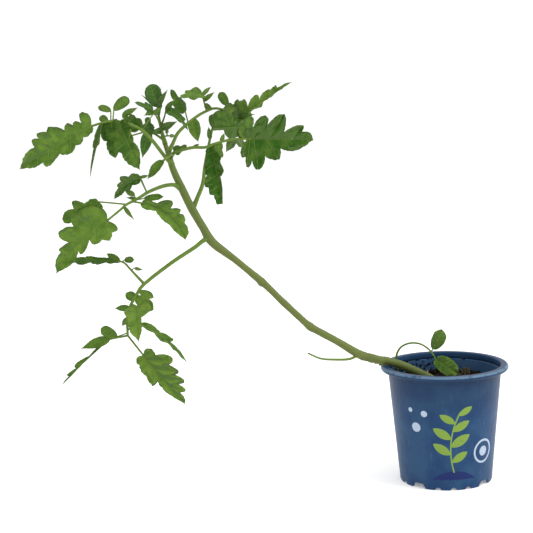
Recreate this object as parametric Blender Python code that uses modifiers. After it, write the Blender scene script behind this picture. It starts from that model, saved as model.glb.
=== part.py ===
"""Tomato plant in a round grower's pot: the pot, its soil, a leaning stem and its cut leaves.

Metres, +Z up. The origin is the middle of the pot's foot, on the surface that it stands on, and the
plant leans towards -X. Every length below is in millimetres and every angle in degrees.
"""
import math

import bmesh
import bpy
from mathutils import Matrix, Vector

MM = 0.001
GAP = 0.3  # clearance between pieces that touch
SAME_PLACE = 0.01 * MM  # points closer than this are one
SHARP_ANGLE = 35

# Pot: the wall widens evenly from the foot to the rim
POT_HEIGHT = 111
FOOT_RADIUS = 43.4
WALL = 1.4
WALL_FLARE = 0.0925  # growth of the radius for each millimetre of height
RIM_RADIUS = 60
RIM_DEPTH = 4.7
RIM_INSIDE = 7.2  # from the rim's outer edge in to its hole
# Outline of the rim: in from its edge and down from its top
RIM_OUTLINE = [(5.7, 0), (1.8, 0), (0.4, 0.9), (0, 2.4), (0.5, 4.1), (1.7, 4.7)]
LEDGE_DEPTH = 2  # the inside widens towards the rim from this far under the rim
PAD_RADIUS = 26  # the flat middle of the floor, which the pot stands on
PAD_SLOPE = 1  # half the width of the step from the pad up to the channel
CHANNEL_HEIGHT = 5  # the raised ring around it, which the water leaves by
POT_STEPS = 36

# Foot of the skirt: four wide notches with three small arches between each pair
NOTCHES = 4
NOTCH_WIDTH = 15
NOTCH_TOP_WIDTH = 9
NOTCH_HEIGHT = 4.5
ARCH_RADIUS = 3
ARCH_HEIGHT = 2.4
ARCH_SPACING = 19
FRONT_ARCH = -88  # heading of the middle arch at the front
DRAIN_RADIUS = 3.2
DRAIN_PLACE = 34.5
CUT_LENGTH = 8  # of the shapes that cut the notches and arches through the skirt

# Soil: its top's waves are given by their height and by the angle they turn through in a millimetre
SOIL_TOP = 94
SOIL_RINGS = (44, 37, 29, 21, 13, 6)
BROAD_WAVE = (1.6, 0.16, 0.13)
CLOSE_WAVE = (0.9, 0.45, 0.38)

# Leaves
BLADE = 0.7  # thickness of a leaf blade
SLIMMEST = 0.4  # half width of a blade at its base and tip
MIDRIB = (0.5, 120)  # a midrib is as thick as this, and the leaflet's length divided by this
MIDRIB_END = 0.35  # share of the leaflet at which the midrib is within the blade
END_LOBE = 0.8  # length of a leaflet's end lobe, counted in side lobes
BASE_ANGLE = 130  # between the midrib's course and the edge at the leaflet's base
TIP_ANGLE = 30
VEIN_ANGLES = (112, 50)  # between the midrib's course and the veins at its two ends
PLAIN_ANGLE = 75  # the same for a leaflet without lobes
UNEVEN = 0.1  # how far the lobes' lengths differ
BASE_ROUND = 0.6  # powers that shape the edge before its first vein, after its last and between them
TIP_ROUND = 1.25
LOBE_ROUND = 0.75
CLOSEST = 0.035  # least step between the places along a leaflet

# Centre line and radius of the main stem, from its foot in the soil to the growing tip
MAIN_STEM = [
    (6, 6, 60, 3.3),
    (-2, 4, 80, 3.5),
    (-8, 3.5, 92, 3.6),
    (-17.5, 3, 99.2, 3.7),
    (-31, 3, 106, 3.7),
    (-42, 2.5, 111, 3.7),
    (-54, 1, 115.2, 3.8),
    (-59, 0, 115.9, 3.9),
    (-67, -1, 118.3, 4.0),
    (-80, -2, 122.8, 4.1),
    (-101, -5, 136.8, 3.4),
    (-121, -8, 149, 3.5),
    (-126.4, -8, 152.6, 4.0),
    (-131.6, -9, 157.5, 3.2),
    (-147.5, -10, 173.5, 3.2),
    (-165.5, -11, 192.5, 3.3),
    (-169.8, -11, 196.2, 4.0),
    (-174.8, -11, 201.2, 3.4),
    (-194.6, -9, 218.5, 3.2),
    (-214.5, -6, 234.6, 4.2),
    (-223, -4, 249, 3.8),
    (-233, -1, 267, 3.9),
    (-243, 2, 289, 3.4),
    (-249, 3, 304, 3.1),
    (-252, 4, 316, 2.7),
    (-255, 5, 326, 2.1),
]
TIP_STEM = [
    (-255.1, 5.1, 326.3, 2.0),
    (-258, 8, 338, 1.7),
    (-260, 9, 350, 1.3),
    (-261, 10, 362, 0.9),
]


def leaflet(at, length, width, heading, toward=0, **shape):
    """One leaflet: where it grows on its stalk, its size, where its tip points and its form.

    heading turns in the plane of X and Z, from +X towards +Z, and toward leans the tip towards -Y.
    Beside its tip a leaflet has the given number of lobes on each side, cut in by a share of its width,
    and one without lobes is broadest at the share widest. A side with a form of its own has a list of
    the veins that end in its lobes instead: the share of the midrib where the vein leaves, its length,
    its angle with the midrib's course and the length that the notch after it leaves.
    """
    form = dict(stalk=None, roll=0, bend=15, sickle=0, fold=10, twist=0, lobes=2, cut=0.35, widest=0.35)
    form.update(dict(left=None, right=None), **shape)
    form.update(at=at, length=length, width=width, heading=heading, toward=toward)
    return form


# Lowest leaf: it arches down on the left, its leaflets hanging
LEAF_1 = [
    dict(
        route=[
            (-218, -6, 239),
            (-224, -9, 236),
            (-231, -12, 231),
            (-252, -22, 219),
            (-277, -35, 202),
            (-284, -40, 193),
            (-290, -44, 183),
            (-293, -46, 172),
            (-293, -47, 157),
        ],
        radii=(2.2, 1.1),
        leaflets=[
            leaflet(
                1, 58, 31, -50, 12, stalk=(23, -53, 8), roll=10,
                left=[(0.03, 11, 85, 11), (0.1, 24.5, 54, 19), (0.28, 24, 50, 16), (0.47, 21.5, 48, 12),
                      (0.64, 15.5, 42, 8), (0.8, 7, 45, 0)],
                right=[(0.02, 9, 90, 9), (0.1, 11.5, 70, 10.5), (0.28, 14, 54, 6), (0.52, 6.5, 60, 0)],
            ),
            leaflet(
                0.96, 58, 18, -38, 22, stalk=(16, 28, 27), roll=-72, bend=35,
                left=[(0.2, 6, 65, 3), (0.4, 9.5, 36, 1.5), (0.7, 2.5, 50, 0)],
                right=[(0.15, 9, 70, 7), (0.4, 11, 62, 9), (0.65, 9, 58, 0)],
            ),
            leaflet(
                1, 58, 26, -138, 8, stalk=(18, -170, 0), roll=40,
                right=[(0.2, 2, 50, 1.2), (0.55, 7, 35, 2), (0.72, 7, 30, 1.5), (0.9, 1.5, 40, 0)],
                left=[(0.3, 1.5, 50, 1), (0.7, 1.5, 40, 0)],
            ),
            leaflet(1, 27, 10, -165, 12, stalk=(17, -172, 4), roll=25, lobes=0),
            leaflet(0.98, 16.5, 10, 150, 0, stalk=(10.5, 198, 0), roll=15, lobes=0, widest=0.62),
            leaflet(
                0.77, 42, 26, -82, 50, stalk=(8, -10, 50), bend=60,
                left=[(0.3, 14, 85, 5), (0.62, 5.5, 70, 0)], right=[(0.2, 11, 80, 9), (0.55, 8.5, 65, 0)],
            ),
            leaflet(0.66, 15, 7, -22, 15, roll=-20, lobes=0, widest=0.6),
            leaflet(0.71, 22, 12, -33, 25, roll=-10, lobes=0, widest=0.6),
            leaflet(0.72, 11, 9, 155, -30, roll=20, lobes=0),
            leaflet(0.8, 14, 6, 180, -10, roll=20, lobes=0),
            leaflet(0.87, 13, 5, -125, -35, lobes=0),
        ],
    ),
    dict(
        route=[(-277, -35, 202), (-288, -28, 213), (-296, -24, 221), (-304, -22, 222)],
        radii=(1.2, 0.8),
        leaflets=[
            leaflet(
                1, 48, 16, 180, -10, roll=65,
                left=[(0.03, 7, 75, 5), (0.2, 11, 62, 7.5), (0.5, 11, 58, 9), (0.75, 8, 55, 0)],
                right=[(0.1, 4, 65, 3.5), (0.55, 5.5, 60, 0)],
            ),
            leaflet(0.88, 17, 7, 150, -30, roll=20, lobes=0),
            leaflet(0.83, 9, 6, 2, 15, stalk=(4, 35, 10), roll=-10, lobes=0, widest=0.55),
            leaflet(0.5, 8, 3, -10, 20, stalk=(4, 30, 10), lobes=0),
        ],
    ),
]

# Leaf on the left, with a broad hanging end leaflet
LEAF_2 = [
    dict(
        route=[
            (-243, 2, 285),
            (-248, -4, 289),
            (-256, -9, 289),
            (-264, -15, 287),
            (-272, -21, 284),
            (-279, -26, 280),
            (-290, -33, 275),
            (-295, -36, 271),
            (-307, -43, 262),
        ],
        radii=(2.0, 1.0),
        leaflets=[
            leaflet(
                1, 66, 46, -136, 17, roll=12, bend=25, sickle=36,
                right=[(0.2, 22, 70, 13), (0.45, 20, 64, 5.5), (0.6, 11, 45, 7), (0.73, 8, 48, 0)],
                left=[(0.02, 13.5, 109, 12), (0.1, 17.5, 84, 14), (0.19, 16.5, 60, 8), (0.38, 17, 46, 9),
                      (0.62, 11.5, 58, 0)],
            ),
            leaflet(
                0.72, 36, 26, -157, 5, stalk=(26, 173, 0), roll=25,
                right=[(0.15, 5, 70, 4), (0.42, 11, 64, 3.5), (0.72, 5.5, 64, 0)],
                left=[(0.05, 9, 95, 8), (0.3, 15.5, 68, 5), (0.72, 9.5, 62, 0)],
            ),
            leaflet(
                0.45, 33, 18, -143, -15, stalk=(17, 118, -33), sickle=50,
                right=[(0.12, 6.5, 80, 5.5), (0.3, 9.5, 65, 6.5), (0.5, 6, 60, 4), (0.7, 3, 50, 0)],
                left=[(0.1, 4, 80, 3), (0.35, 7, 60, 4.5), (0.6, 5, 55, 0)],
            ),
            leaflet(0.45, 8, 3, 8, -20, stalk=(18, 114, -33), lobes=0),
            leaflet(0.61, 11, 5, 158, -30, stalk=(5, 100, -30), roll=20, lobes=0),
            leaflet(0.58, 12, 3, 175, -28, roll=10, lobes=0),
            leaflet(
                0.65, 52, 25, -41, 13, stalk=(12, -7, 36), roll=-25, sickle=-55, fold=25,
                left=[(0.1, 5, 70, 4.5), (0.28, 14, 52, 7), (0.48, 13, 64, 9), (0.6, 11.5, 63, 8),
                      (0.78, 8, 60, 0)],
                right=[(0.08, 6.5, 80, 3.5), (0.42, 8.5, 68, 7.5), (0.7, 7.5, 60, 0)],
            ),
            leaflet(0.62, 18, 7, 4, 5, stalk=(9, 9, 5), roll=-30, lobes=0, widest=0.6),
            leaflet(0.76, 18, 4, -49, 33, lobes=0),
        ],
    ),
]

# Leaf on the right of the fork: its end leaflet shows its underside, another hangs below it
LEAF_3 = [
    dict(
        route=[
            (-232, 0, 265),
            (-227, 6, 276),
            (-222, 12, 288),
            (-220, 20, 302),
            (-217, 28, 317),
            (-215, 33, 326),
            (-212, 40, 338),
        ],
        radii=(2.2, 1.1),
        leaflets=[
            leaflet(
                1, 40, 38, -2, -30, roll=195,
                left=[(0.08, 2.5, 90, 2.5), (0.62, 12, 92, 0)],
                right=[(0.1, 13, 100, 12), (0.4, 24, 86, 17), (0.75, 20, 80, 0)],
            ),
            leaflet(
                0.74, 55, 25, -81, 9, stalk=(7, 34, 44), roll=15, bend=10, fold=30,
                right=[(0.1, 7, 70, 7), (0.3, 11, 65, 10), (0.5, 16, 65, 12), (0.68, 11.5, 65, 7),
                       (0.85, 8, 60, 0)],
                left=[(0.1, 12, 75, 8), (0.38, 10.5, 68, 6), (0.6, 5, 60, 0)],
            ),
            leaflet(0.87, 12, 5, 95, 15, lobes=0),
        ],
    ),
]

# Leaf on the right, reaching forward, with the broadest end leaflet
LEAF_4 = [
    dict(
        route=[
            (-250, 3, 315),
            (-246, -4, 319),
            (-237, -14, 322),
            (-227, -22, 324),
            (-217, -28, 324),
            (-209, -33, 327),
            (-192, -38, 331),
            (-178, -40, 331),
        ],
        radii=(1.8, 1.0),
        leaflets=[
            leaflet(
                1, 60, 52, -2, 14, roll=-8,
                left=[(0.02, 10, 95, 9), (0.08, 24.5, 57, 14), (0.33, 26, 59, 7), (0.68, 16, 55, 10),
                      (0.83, 8.5, 58, 0)],
                right=[(0.01, 17, 104, 16), (0.04, 26, 91, 20), (0.1, 28.5, 77, 17), (0.3, 22, 57, 10),
                       (0.58, 12, 60, 0)],
            ),
            leaflet(0.11, 13, 9, 30, 12, roll=-20, lobes=1, cut=0.4),
            leaflet(0.38, 7, 3, 30, 10, lobes=0),
            leaflet(0.85, 30, 9, -120, -60, roll=180, lobes=0),
            leaflet(0.9, 36, 14, -63, -72, roll=180, lobes=1, cut=0.3),
            leaflet(0.68, 14, 9, -70, 17, roll=10, lobes=1, cut=0.4),
            leaflet(0.97, 32, 15, 73, -50, lobes=1, cut=0.3),
            leaflet(0.93, 35, 9, 86, -62, lobes=0),
            leaflet(0.72, 10, 4, 68, -32, lobes=0),
        ],
    ),
    dict(
        route=[(-247, -2.5, 318), (-250, -10, 316.5), (-254, -16, 314), (-257, -17, 312)],
        radii=(1.2, 1.0),
        leaflets=[
            leaflet(0.97, 22, 12, -133, 15, roll=40, sickle=-35, fold=25, lobes=0),
        ],
    ),
]

# Leaf that rises to the right
LEAF_5 = [
    dict(
        route=[
            (-252, 4, 319),
            (-248, 9, 327),
            (-244, 13, 335),
            (-238, 17, 341),
            (-226, 24, 350),
            (-216, 28, 355),
            (-207, 31, 357),
            (-192, 35, 352),
            (-185, 36, 346),
        ],
        radii=(1.8, 1.0),
        leaflets=[
            leaflet(
                1, 60, 28, 34, 8, roll=-62, bend=10, fold=20,
                left=[(0.05, 19, 66, 6), (0.28, 14, 62, 4.5), (0.5, 11, 54, 7), (0.65, 8.5, 56, 3.5),
                      (0.8, 4, 50, 0)],
                right=[(0.05, 14, 75, 8), (0.3, 12, 60, 5), (0.55, 9, 55, 0)],
            ),
            leaflet(0.8, 32, 26, -65, 62, lobes=1, cut=0.4),
            leaflet(0.83, 16, 9, 121, -27, stalk=(6, 75, -20), lobes=0, widest=0.6),
            leaflet(0.94, 23, 12, 80, 45, lobes=1, cut=0.4),
            leaflet(0.97, 28, 6, 11, 55, roll=-20, lobes=0),
            leaflet(0.44, 24, 12, -76, 30, lobes=0),
            leaflet(0.38, 26, 13, 123, -18, stalk=(12, 103, -13), roll=-20, lobes=1, cut=0.3),
        ],
    ),
    dict(
        route=[(-216, 28, 355), (-218, 29, 361), (-220, 30, 370)],
        radii=(0.9, 0.7),
        leaflets=[
            leaflet(1, 28, 17, -177, 45, roll=50, lobes=2, cut=0.3),
            leaflet(0.97, 13, 5, 44, -30, roll=-30, lobes=0),
            leaflet(0.62, 13, 5, 38, roll=-30, lobes=0),
            leaflet(0.4, 14, 5, -27, 50, lobes=0),
        ],
    ),
]

# Top leaf on the left, the longest
LEAF_6 = [
    dict(
        route=[
            (-249, 3, 308),
            (-254, -6, 314),
            (-264, -18, 330),
            (-272, -26, 340),
            (-277, -30, 344),
            (-288, -36, 349),
            (-299, -40, 351),
            (-310, -43, 349),
            (-317, -44, 347),
        ],
        radii=(1.9, 1.0),
        leaflets=[
            leaflet(
                1, 75, 36, -151, 22, roll=12, bend=25,
                right=[(0.04, 15, 92, 5.5), (0.12, 11, 70, 8), (0.2, 13, 70, 8), (0.38, 18, 72, 15),
                       (0.5, 19.5, 65, 15), (0.58, 17.5, 62, 11), (0.72, 10.5, 60, 0)],
                left=[(0.1, 6.5, 80, 6), (0.2, 10.5, 70, 10), (0.3, 15, 58, 9.5), (0.6, 15.5, 54, 9),
                      (0.75, 8.5, 55, 0)],
            ),
            leaflet(0.85, 11, 7, 145, -38, roll=20, lobes=0, widest=0.55),
            leaflet(0.8, 18, 10, 37, -24, stalk=(11, 85, -23), roll=-10, lobes=0, widest=0.62),
            leaflet(0.82, 13, 7, 162, -18, stalk=(10, 90, -24), roll=30, lobes=0, widest=0.55),
            leaflet(
                0.74, 52, 34, -66, 29, bend=25,
                right=[(0.15, 16, 85, 12), (0.42, 13, 65, 10), (0.62, 10, 60, 0)],
                left=[(0.15, 8, 75, 3), (0.62, 8, 62, 0)],
            ),
            leaflet(0.81, 33, 22, -86, 8, roll=20, bend=20, lobes=1, cut=0.35),
            leaflet(
                0.9, 52, 14, -106, -8, roll=40, sickle=-6, fold=30,
                right=[(0.25, 3.5, 60, 3), (0.6, 2, 50, 0)], left=[(0.25, 7, 60, 4), (0.6, 2.5, 50, 0)],
            ),
            leaflet(0.84, 29, 5, -139, -45, roll=20, lobes=0),
            leaflet(0.48, 32, 16, -154, -38, stalk=(16, -165, -40), roll=10, lobes=1, cut=0.3),
            leaflet(0.54, 27, 15, 142, -41, roll=15, lobes=2, cut=0.25),
            leaflet(0.66, 17, 6, 27, -28, stalk=(10, 125, -29), roll=-30, lobes=0),
            leaflet(0.51, 10, 5, 37, -11, stalk=(22, 54, -38), lobes=0),
        ],
    ),
]

# Young leaf behind the top left one
LEAF_7 = [
    dict(
        route=[(-256, 6, 330), (-263, 7, 335), (-270, 8, 339)],
        radii=(1.2, 0.8),
        leaflets=[
            leaflet(1, 27, 11, -105, 20, bend=10, lobes=0),
            leaflet(1, 13, 12, 95, -13, lobes=1, cut=0.5),
            leaflet(0.65, 17, 6, 126, -31, lobes=0),
        ],
    ),
]

# Youngest leaves around the growing tip
SHOOT_TIP = [
    dict(
        route=[place[:3] for place in TIP_STEM],
        radii=(2.0, 0.9),
        leaflets=[
            leaflet(1, 21, 16, 107, -10, lobes=0, widest=0.55),
            leaflet(0.96, 21, 6, 57, 23, roll=-20, lobes=0),
            leaflet(0.98, 19, 3, 78, -19, lobes=0),
            leaflet(0.96, 19, 3, 141, -6, lobes=0),
            leaflet(0.9, 20, 12, -55, 75, bend=30, lobes=1, cut=0.2),
            leaflet(0.42, 21, 7, 22, 35, lobes=0),
            leaflet(0.37, 12, 6, -175, 50, lobes=0),
        ],
    ),
    dict(
        route=[(-259, 8, 343), (-261, 5, 350), (-265, 2, 358)],
        radii=(0.9, 0.7),
        leaflets=[
            leaflet(1, 21, 9, 152, 34, roll=40, lobes=1, cut=0.25),
            leaflet(0.92, 16, 6, -160, 60, roll=20, lobes=0),
        ],
    ),
    dict(
        route=[(-259, 8, 342), (-255, 7, 351), (-253, 5, 358)],
        radii=(0.9, 0.7),
        leaflets=[
            leaflet(1, 30, 9, -43, 23, roll=-30, sickle=-35, bend=20, lobes=2, cut=0.2),
            leaflet(0.97, 13, 6, 46, 5, roll=-30, lobes=0),
        ],
    ),
]

# Seedling shoot that loops out of the soil behind the stem, with two smooth-edged leaves
BASAL_SHOOT = [
    dict(
        route=[
            (-40, 22, 72),
            (-41, 19, 92),
            (-44, 14, 108),
            (-44, 11, 118),
            (-41, 9, 125),
            (-36, 7, 129),
            (-29, 4, 131),
            (-21, 0, 130),
            (-14, -4, 125),
            (-10, -6, 119),
        ],
        radii=(1.1, 0.8),
        leaflets=[
            leaflet(1, 25, 17, -33, 18, stalk=(3, -65, 10), roll=-15, bend=40, fold=14, lobes=0, widest=0.5),
            leaflet(0.94, 20, 14, 66, stalk=(4, 50, 0), roll=10, bend=10, fold=14, lobes=0, widest=0.55),
        ],
    ),
]

# Leaf stalk near the pot that has lost its leaflets
BARE_PETIOLE = [(-82, -2, 122), (-90, -8, 120), (-102, -11, 120.5), (-117, -16, 123), (-129, -18, 129)]
BARE_PETIOLE_RADII = (1.3, 0.8)

# Two flower buds on a short stalk that forks: the place of each, half its length and its lean
BUD_STALK = [(-257, 6, 333), (-253, 3, 334), (-249, 1, 334)]
BUD_STALK_RADII = (0.8, 0.6)
BUD_BRANCH_RADII = (0.6, 0.5)
BUDS = [((-248, 0, 334), 2.6, 0), ((-253, 8, 338), 2.4, 70)]
BUD_SLIMNESS = 0.6  # thickness of a bud, of its length


# ---------------------------------------------------------------- shared tools

def collection(name):
    group = bpy.data.collections.new(name)
    bpy.context.scene.collection.children.link(group)
    return group


def material(name, colour, roughness):
    new = bpy.data.materials.new(name)
    new.use_nodes = True
    surface = new.node_tree.nodes["Principled BSDF"]
    surface.inputs["Base Color"].default_value = (*colour, 1)
    surface.inputs["Roughness"].default_value = roughness
    surface.inputs["Metallic"].default_value = 0
    return new


def put(name, mesh, group):
    new = bpy.data.objects.new(name, mesh)
    group.objects.link(new)
    return new


def guide(obj):
    obj.hide_render = True
    obj.display_type = "WIRE"
    return obj


def evaluated_mesh(obj):
    bpy.context.view_layer.update()
    return bpy.data.meshes.new_from_object(obj.evaluated_get(bpy.context.evaluated_depsgraph_get()))


def settle(obj):
    """Apply an object's modifiers."""
    mesh = evaluated_mesh(obj)
    obj.modifiers.clear()
    obj.data = mesh


def turned(name, profile, group):
    """A profile of radius and height, turned about Z."""
    mesh = bpy.data.meshes.new(name)
    ends = [(number, number + 1) for number in range(len(profile) - 1)]
    mesh.from_pydata([(radius * MM, 0, height * MM) for radius, height in profile], ends, [])
    new = put(name, mesh, group)
    screw = new.modifiers.new("turn", "SCREW")
    screw.steps = POT_STEPS
    screw.render_steps = POT_STEPS
    screw.use_merge_vertices = True
    screw.merge_threshold = SAME_PLACE
    return new


def tube(name, places, radii, group, resolution=1, grow=0.0):
    """A round stalk along the places, thinning evenly or with a radius for each place."""
    curve = bpy.data.curves.new(name, "CURVE")
    curve.dimensions = "3D"
    curve.bevel_depth = MM
    curve.bevel_resolution = resolution
    curve.use_fill_caps = True
    spline = curve.splines.new("POLY")
    spline.points.add(len(places) - 1)
    if len(radii) == 2:
        last = len(places) - 1
        radii = [radii[0] + (radii[1] - radii[0]) * number / last for number in range(last + 1)]
    for point, place, radius in zip(spline.points, places, radii):
        point.co = (*(Vector(place) * MM), 1)
        point.radius = radius + grow
    drawn = put(name, curve, group)
    mesh = evaluated_mesh(drawn)
    bpy.data.objects.remove(drawn)
    work = bmesh.new()
    work.from_mesh(mesh)
    bmesh.ops.remove_doubles(work, verts=work.verts, dist=SAME_PLACE)
    work.to_mesh(mesh)
    work.free()
    return put(name, mesh, group)


def combine(obj, group, operation):
    """Join a group's objects to this one, or cut them out of it."""
    change = obj.modifiers.new(operation.lower(), "BOOLEAN")
    change.operation = operation
    change.operand_type = "COLLECTION"
    change.collection = group


def clear(group):
    for obj in list(group.objects):
        bpy.data.objects.remove(obj)


def place_along(route, share):
    """The place at a share of a route's length."""
    steps = [(Vector(b) - Vector(a)).length for a, b in zip(route, route[1:])]
    left = share * sum(steps)
    for start, end, step in zip(route, route[1:], steps):
        if left <= step:
            return Vector(start).lerp(Vector(end), left / step)
        left -= step
    return Vector(route[-1])


def pointing(heading, toward):
    heading = math.radians(heading)
    toward = math.radians(toward)
    level = math.cos(toward)
    return Vector((math.cos(heading) * level, -math.sin(toward), math.sin(heading) * level))


# ---------------------------------------------------------------- leaflets

def lobe_veins(form, side):
    """The veins of one side: share of the midrib, length, angle, and length left in the notch after it."""
    own = form["left" if side > 0 else "right"]
    if own:
        return own
    half = form["width"] / 2
    if not form["lobes"]:
        return [(form["widest"], half, PLAIN_ANGLE, 0)]
    veins = []
    first, last = VEIN_ANGLES
    for lobe in range(form["lobes"] + 1):
        share = (lobe + (0.5 if lobe < form["lobes"] else 0.3)) / (form["lobes"] + END_LOBE)
        uneven = 1 + UNEVEN * math.sin(2.4 * lobe + 1.7 * side + form["length"])
        reach = half * math.sin(math.pi * share ** 0.5) ** 0.85 * uneven
        veins.append((share, reach, first + (last - first) * share, (1 - form["cut"]) * reach))
    return veins


def edge(form, share, side):
    """How far the edge is from the midrib at a share of its length, and at which angle to its course."""
    veins = lobe_veins(form, side)
    start, reach, angle, _ = veins[0]
    if share <= start:
        way = share / start
        return reach * math.sin(math.pi / 2 * way) ** BASE_ROUND, angle * way + BASE_ANGLE * (1 - way)
    for (start, reach, angle, notch), (end, next_reach, next_angle, _) in zip(veins, veins[1:]):
        if share <= end:
            way = (share - start) / (end - start)
            top = reach if way < 0.5 else next_reach
            bottom = min(notch, top)
            bulge = abs(math.cos(math.pi * way)) ** LOBE_ROUND
            return bottom + (top - bottom) * bulge, angle + (next_angle - angle) * way
    start, reach, angle, _ = veins[-1]
    way = (share - start) / (1 - start)
    return reach * max(math.cos(math.pi / 2 * way), 0) ** TIP_ROUND, angle * (1 - way) + TIP_ANGLE * way


def leaflet_surface(form, base, share, across):
    """Place on a leaflet: share runs from its base to its tip, across from its right edge to its left."""
    ahead = pointing(form["heading"], form["toward"])
    facing = Vector((0, -1, 0)) if abs(ahead.y) < 0.97 else Vector((0, 0, 1))
    facing = (facing - facing.dot(ahead) * ahead).normalized()
    facing = Matrix.Rotation(math.radians(form["roll"] + form["twist"] * (share - 0.5)), 3, ahead) @ facing
    aside = facing.cross(ahead)
    arch = math.radians(form["bend"]) / 2
    swing = math.radians(form["sickle"]) / 2
    middle = ahead * share + (facing * arch - aside * swing) * share * (1 - share)
    along = (ahead + (facing * arch - aside * swing) * (1 - 2 * share)).normalized()
    aside = facing.cross(along).normalized()
    up = along.cross(aside)
    reach, angle = edge(form, share, across)
    reach = max(reach, SLIMMEST) * abs(across)
    fold = math.radians(form["fold"])
    out = aside * math.copysign(math.cos(fold), across) + up * math.sin(fold)
    angle = math.radians(angle)
    return base + middle * form["length"] + (along * math.cos(angle) + out * math.sin(angle)) * reach


def stations(form):
    """Shares of the midrib at a leaflet's base, its veins, the notches between them and its tip."""
    places = [1]
    for side in (-1, 1):
        shares = [vein[0] for vein in lobe_veins(form, side)] + [1]
        places += shares + [(share + after) / 2 for share, after in zip(shares, shares[1:])]
    places.sort()
    return [0] + [share for share, after in zip(places, places[1:]) if after - share > CLOSEST] + [1]


def blade(form, base, group):
    shares = stations(form)
    mesh = bpy.data.meshes.new("blade")
    work = bmesh.new()
    bmesh.ops.create_grid(work, x_segments=len(shares) - 1, y_segments=2, size=1)
    for number, vert in enumerate(work.verts):
        row, column = divmod(number, len(shares))
        vert.co = leaflet_surface(form, base, shares[column], row - 1) * MM
    bmesh.ops.triangulate(work, faces=work.faces)
    work.to_mesh(mesh)
    work.free()
    new = guide(put("blade", mesh, group))
    solid = new.modifiers.new("thickness", "SOLIDIFY")
    solid.thickness = BLADE * MM
    solid.offset = 0
    settle(new)


def grow_leaflet(form, route, group):
    """A leaflet's blade, with the stalk that carries it and runs on as its midrib."""
    base = start = place_along(route, form["at"])
    if form["stalk"]:
        length, heading, toward = form["stalk"]
        base = start + pointing(heading, toward) * length
    thin, for_length = MIDRIB
    end = leaflet_surface(form, base, MIDRIB_END, 0)
    places = [start, base, end] if form["stalk"] else [start, end]
    guide(tube("midrib", places, (thin + form["length"] / for_length, thin), group, resolution=0))
    blade(form, base, group)


def spray(name, parts, look, seats):
    """One leaf as one solid: its stalks and blades joined, its foot cut to sit on what carries it."""
    pieces = collection(name + " pieces")
    for part in parts:
        for form in part["leaflets"]:
            grow_leaflet(form, part["route"], pieces)
    for part in parts[1:]:
        guide(tube("branch", part["route"], part["radii"], pieces))
    whole = tube(name, parts[0]["route"], parts[0]["radii"], plant)
    combine(whole, pieces, "UNION")
    settle(whole)
    clear(pieces)
    for seat in seats:
        guide(tube("seat", *seat, pieces, resolution=2, grow=GAP))
    if seats:
        combine(whole, pieces, "DIFFERENCE")
        settle(whole)
        clear(pieces)
    finish(whole, look)


def finish(obj, look):
    obj.data.materials.clear()
    obj.data.materials.append(look)
    obj.data.shade_smooth()
    obj.data.set_sharp_from_angle(angle=math.radians(SHARP_ANGLE))


# ---------------------------------------------------------------- the pieces

def wall_radius(height):
    return FOOT_RADIUS + WALL_FLARE * height


def make_pot():
    floor = CHANNEL_HEIGHT + WALL
    under_rim = POT_HEIGHT - RIM_DEPTH
    ledge = under_rim - LEDGE_DEPTH
    profile = [
        (0, WALL),
        (PAD_RADIUS - PAD_SLOPE, WALL),
        (PAD_RADIUS + PAD_SLOPE, floor),
        (wall_radius(floor) - WALL, floor),
        (wall_radius(ledge) - WALL, ledge),
        (wall_radius(ledge), ledge + 1),
        (RIM_RADIUS - RIM_INSIDE, POT_HEIGHT - 1),
        *[(RIM_RADIUS - inward, POT_HEIGHT - down) for inward, down in RIM_OUTLINE],
        (wall_radius(under_rim) + 0.8, under_rim),
        (wall_radius(under_rim), under_rim - 1),
        (FOOT_RADIUS, 0),
        (FOOT_RADIUS - WALL, 0),
        (FOOT_RADIUS - WALL, CHANNEL_HEIGHT),
        (PAD_RADIUS + 2 * PAD_SLOPE, CHANNEL_HEIGHT),
        (PAD_RADIUS, 0),
        (0, 0),
    ]
    pot = turned("pot", profile, plant)
    settle(pot)
    holes = collection("pot holes")
    for side in range(NOTCHES):
        middle = FRONT_ARCH + 360 / NOTCHES * side
        foot_notch(middle + 180 / NOTCHES, holes)
        for step in (-1, 0, 1):
            foot_arch(middle + ARCH_SPACING * step, holes)
        drain(middle, holes)
        drain(middle + 180 / NOTCHES, holes)
    combine(pot, holes, "DIFFERENCE")
    finish(pot, material("slate blue plastic", (0.05, 0.115, 0.2), 0.45))


def foot_notch(heading, group):
    """A wide notch with sloping sides, through the skirt."""
    mesh = bpy.data.meshes.new("notch")
    work = bmesh.new()
    bmesh.ops.create_cube(work, size=1)
    for vert in work.verts:
        low = vert.co.z < 0
        width, height = (NOTCH_WIDTH, -1) if low else (NOTCH_TOP_WIDTH, NOTCH_HEIGHT)
        vert.co = Vector((FOOT_RADIUS + vert.co.x * CUT_LENGTH, vert.co.y * width, height)) * MM
    work.to_mesh(mesh)
    work.free()
    new = guide(put("notch", mesh, group))
    new.rotation_euler.z = math.radians(heading)


def foot_arch(heading, group):
    outward = Matrix.Rotation(math.radians(90), 4, "Y")
    middle = Matrix.Translation((FOOT_RADIUS, 0, ARCH_HEIGHT - ARCH_RADIUS))
    drill("arch", ARCH_RADIUS, CUT_LENGTH, middle @ outward, heading, group)


def drain(heading, group):
    middle = Matrix.Translation((DRAIN_PLACE, 0, CHANNEL_HEIGHT))
    drill("drain", DRAIN_RADIUS, 3 * WALL, middle, heading, group)


def drill(name, radius, length, place, heading, group):
    """A short round bar that is placed on the side at 0 degrees and turned to its heading."""
    mesh = bpy.data.meshes.new(name)
    work = bmesh.new()
    bmesh.ops.create_cone(
        work, cap_ends=True, segments=12, radius1=radius, radius2=radius, depth=length,
        matrix=Matrix.Scale(MM, 4) @ place,
    )
    work.to_mesh(mesh)
    work.free()
    new = guide(put(name, mesh, group))
    new.rotation_euler.z = math.radians(heading)


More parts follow.
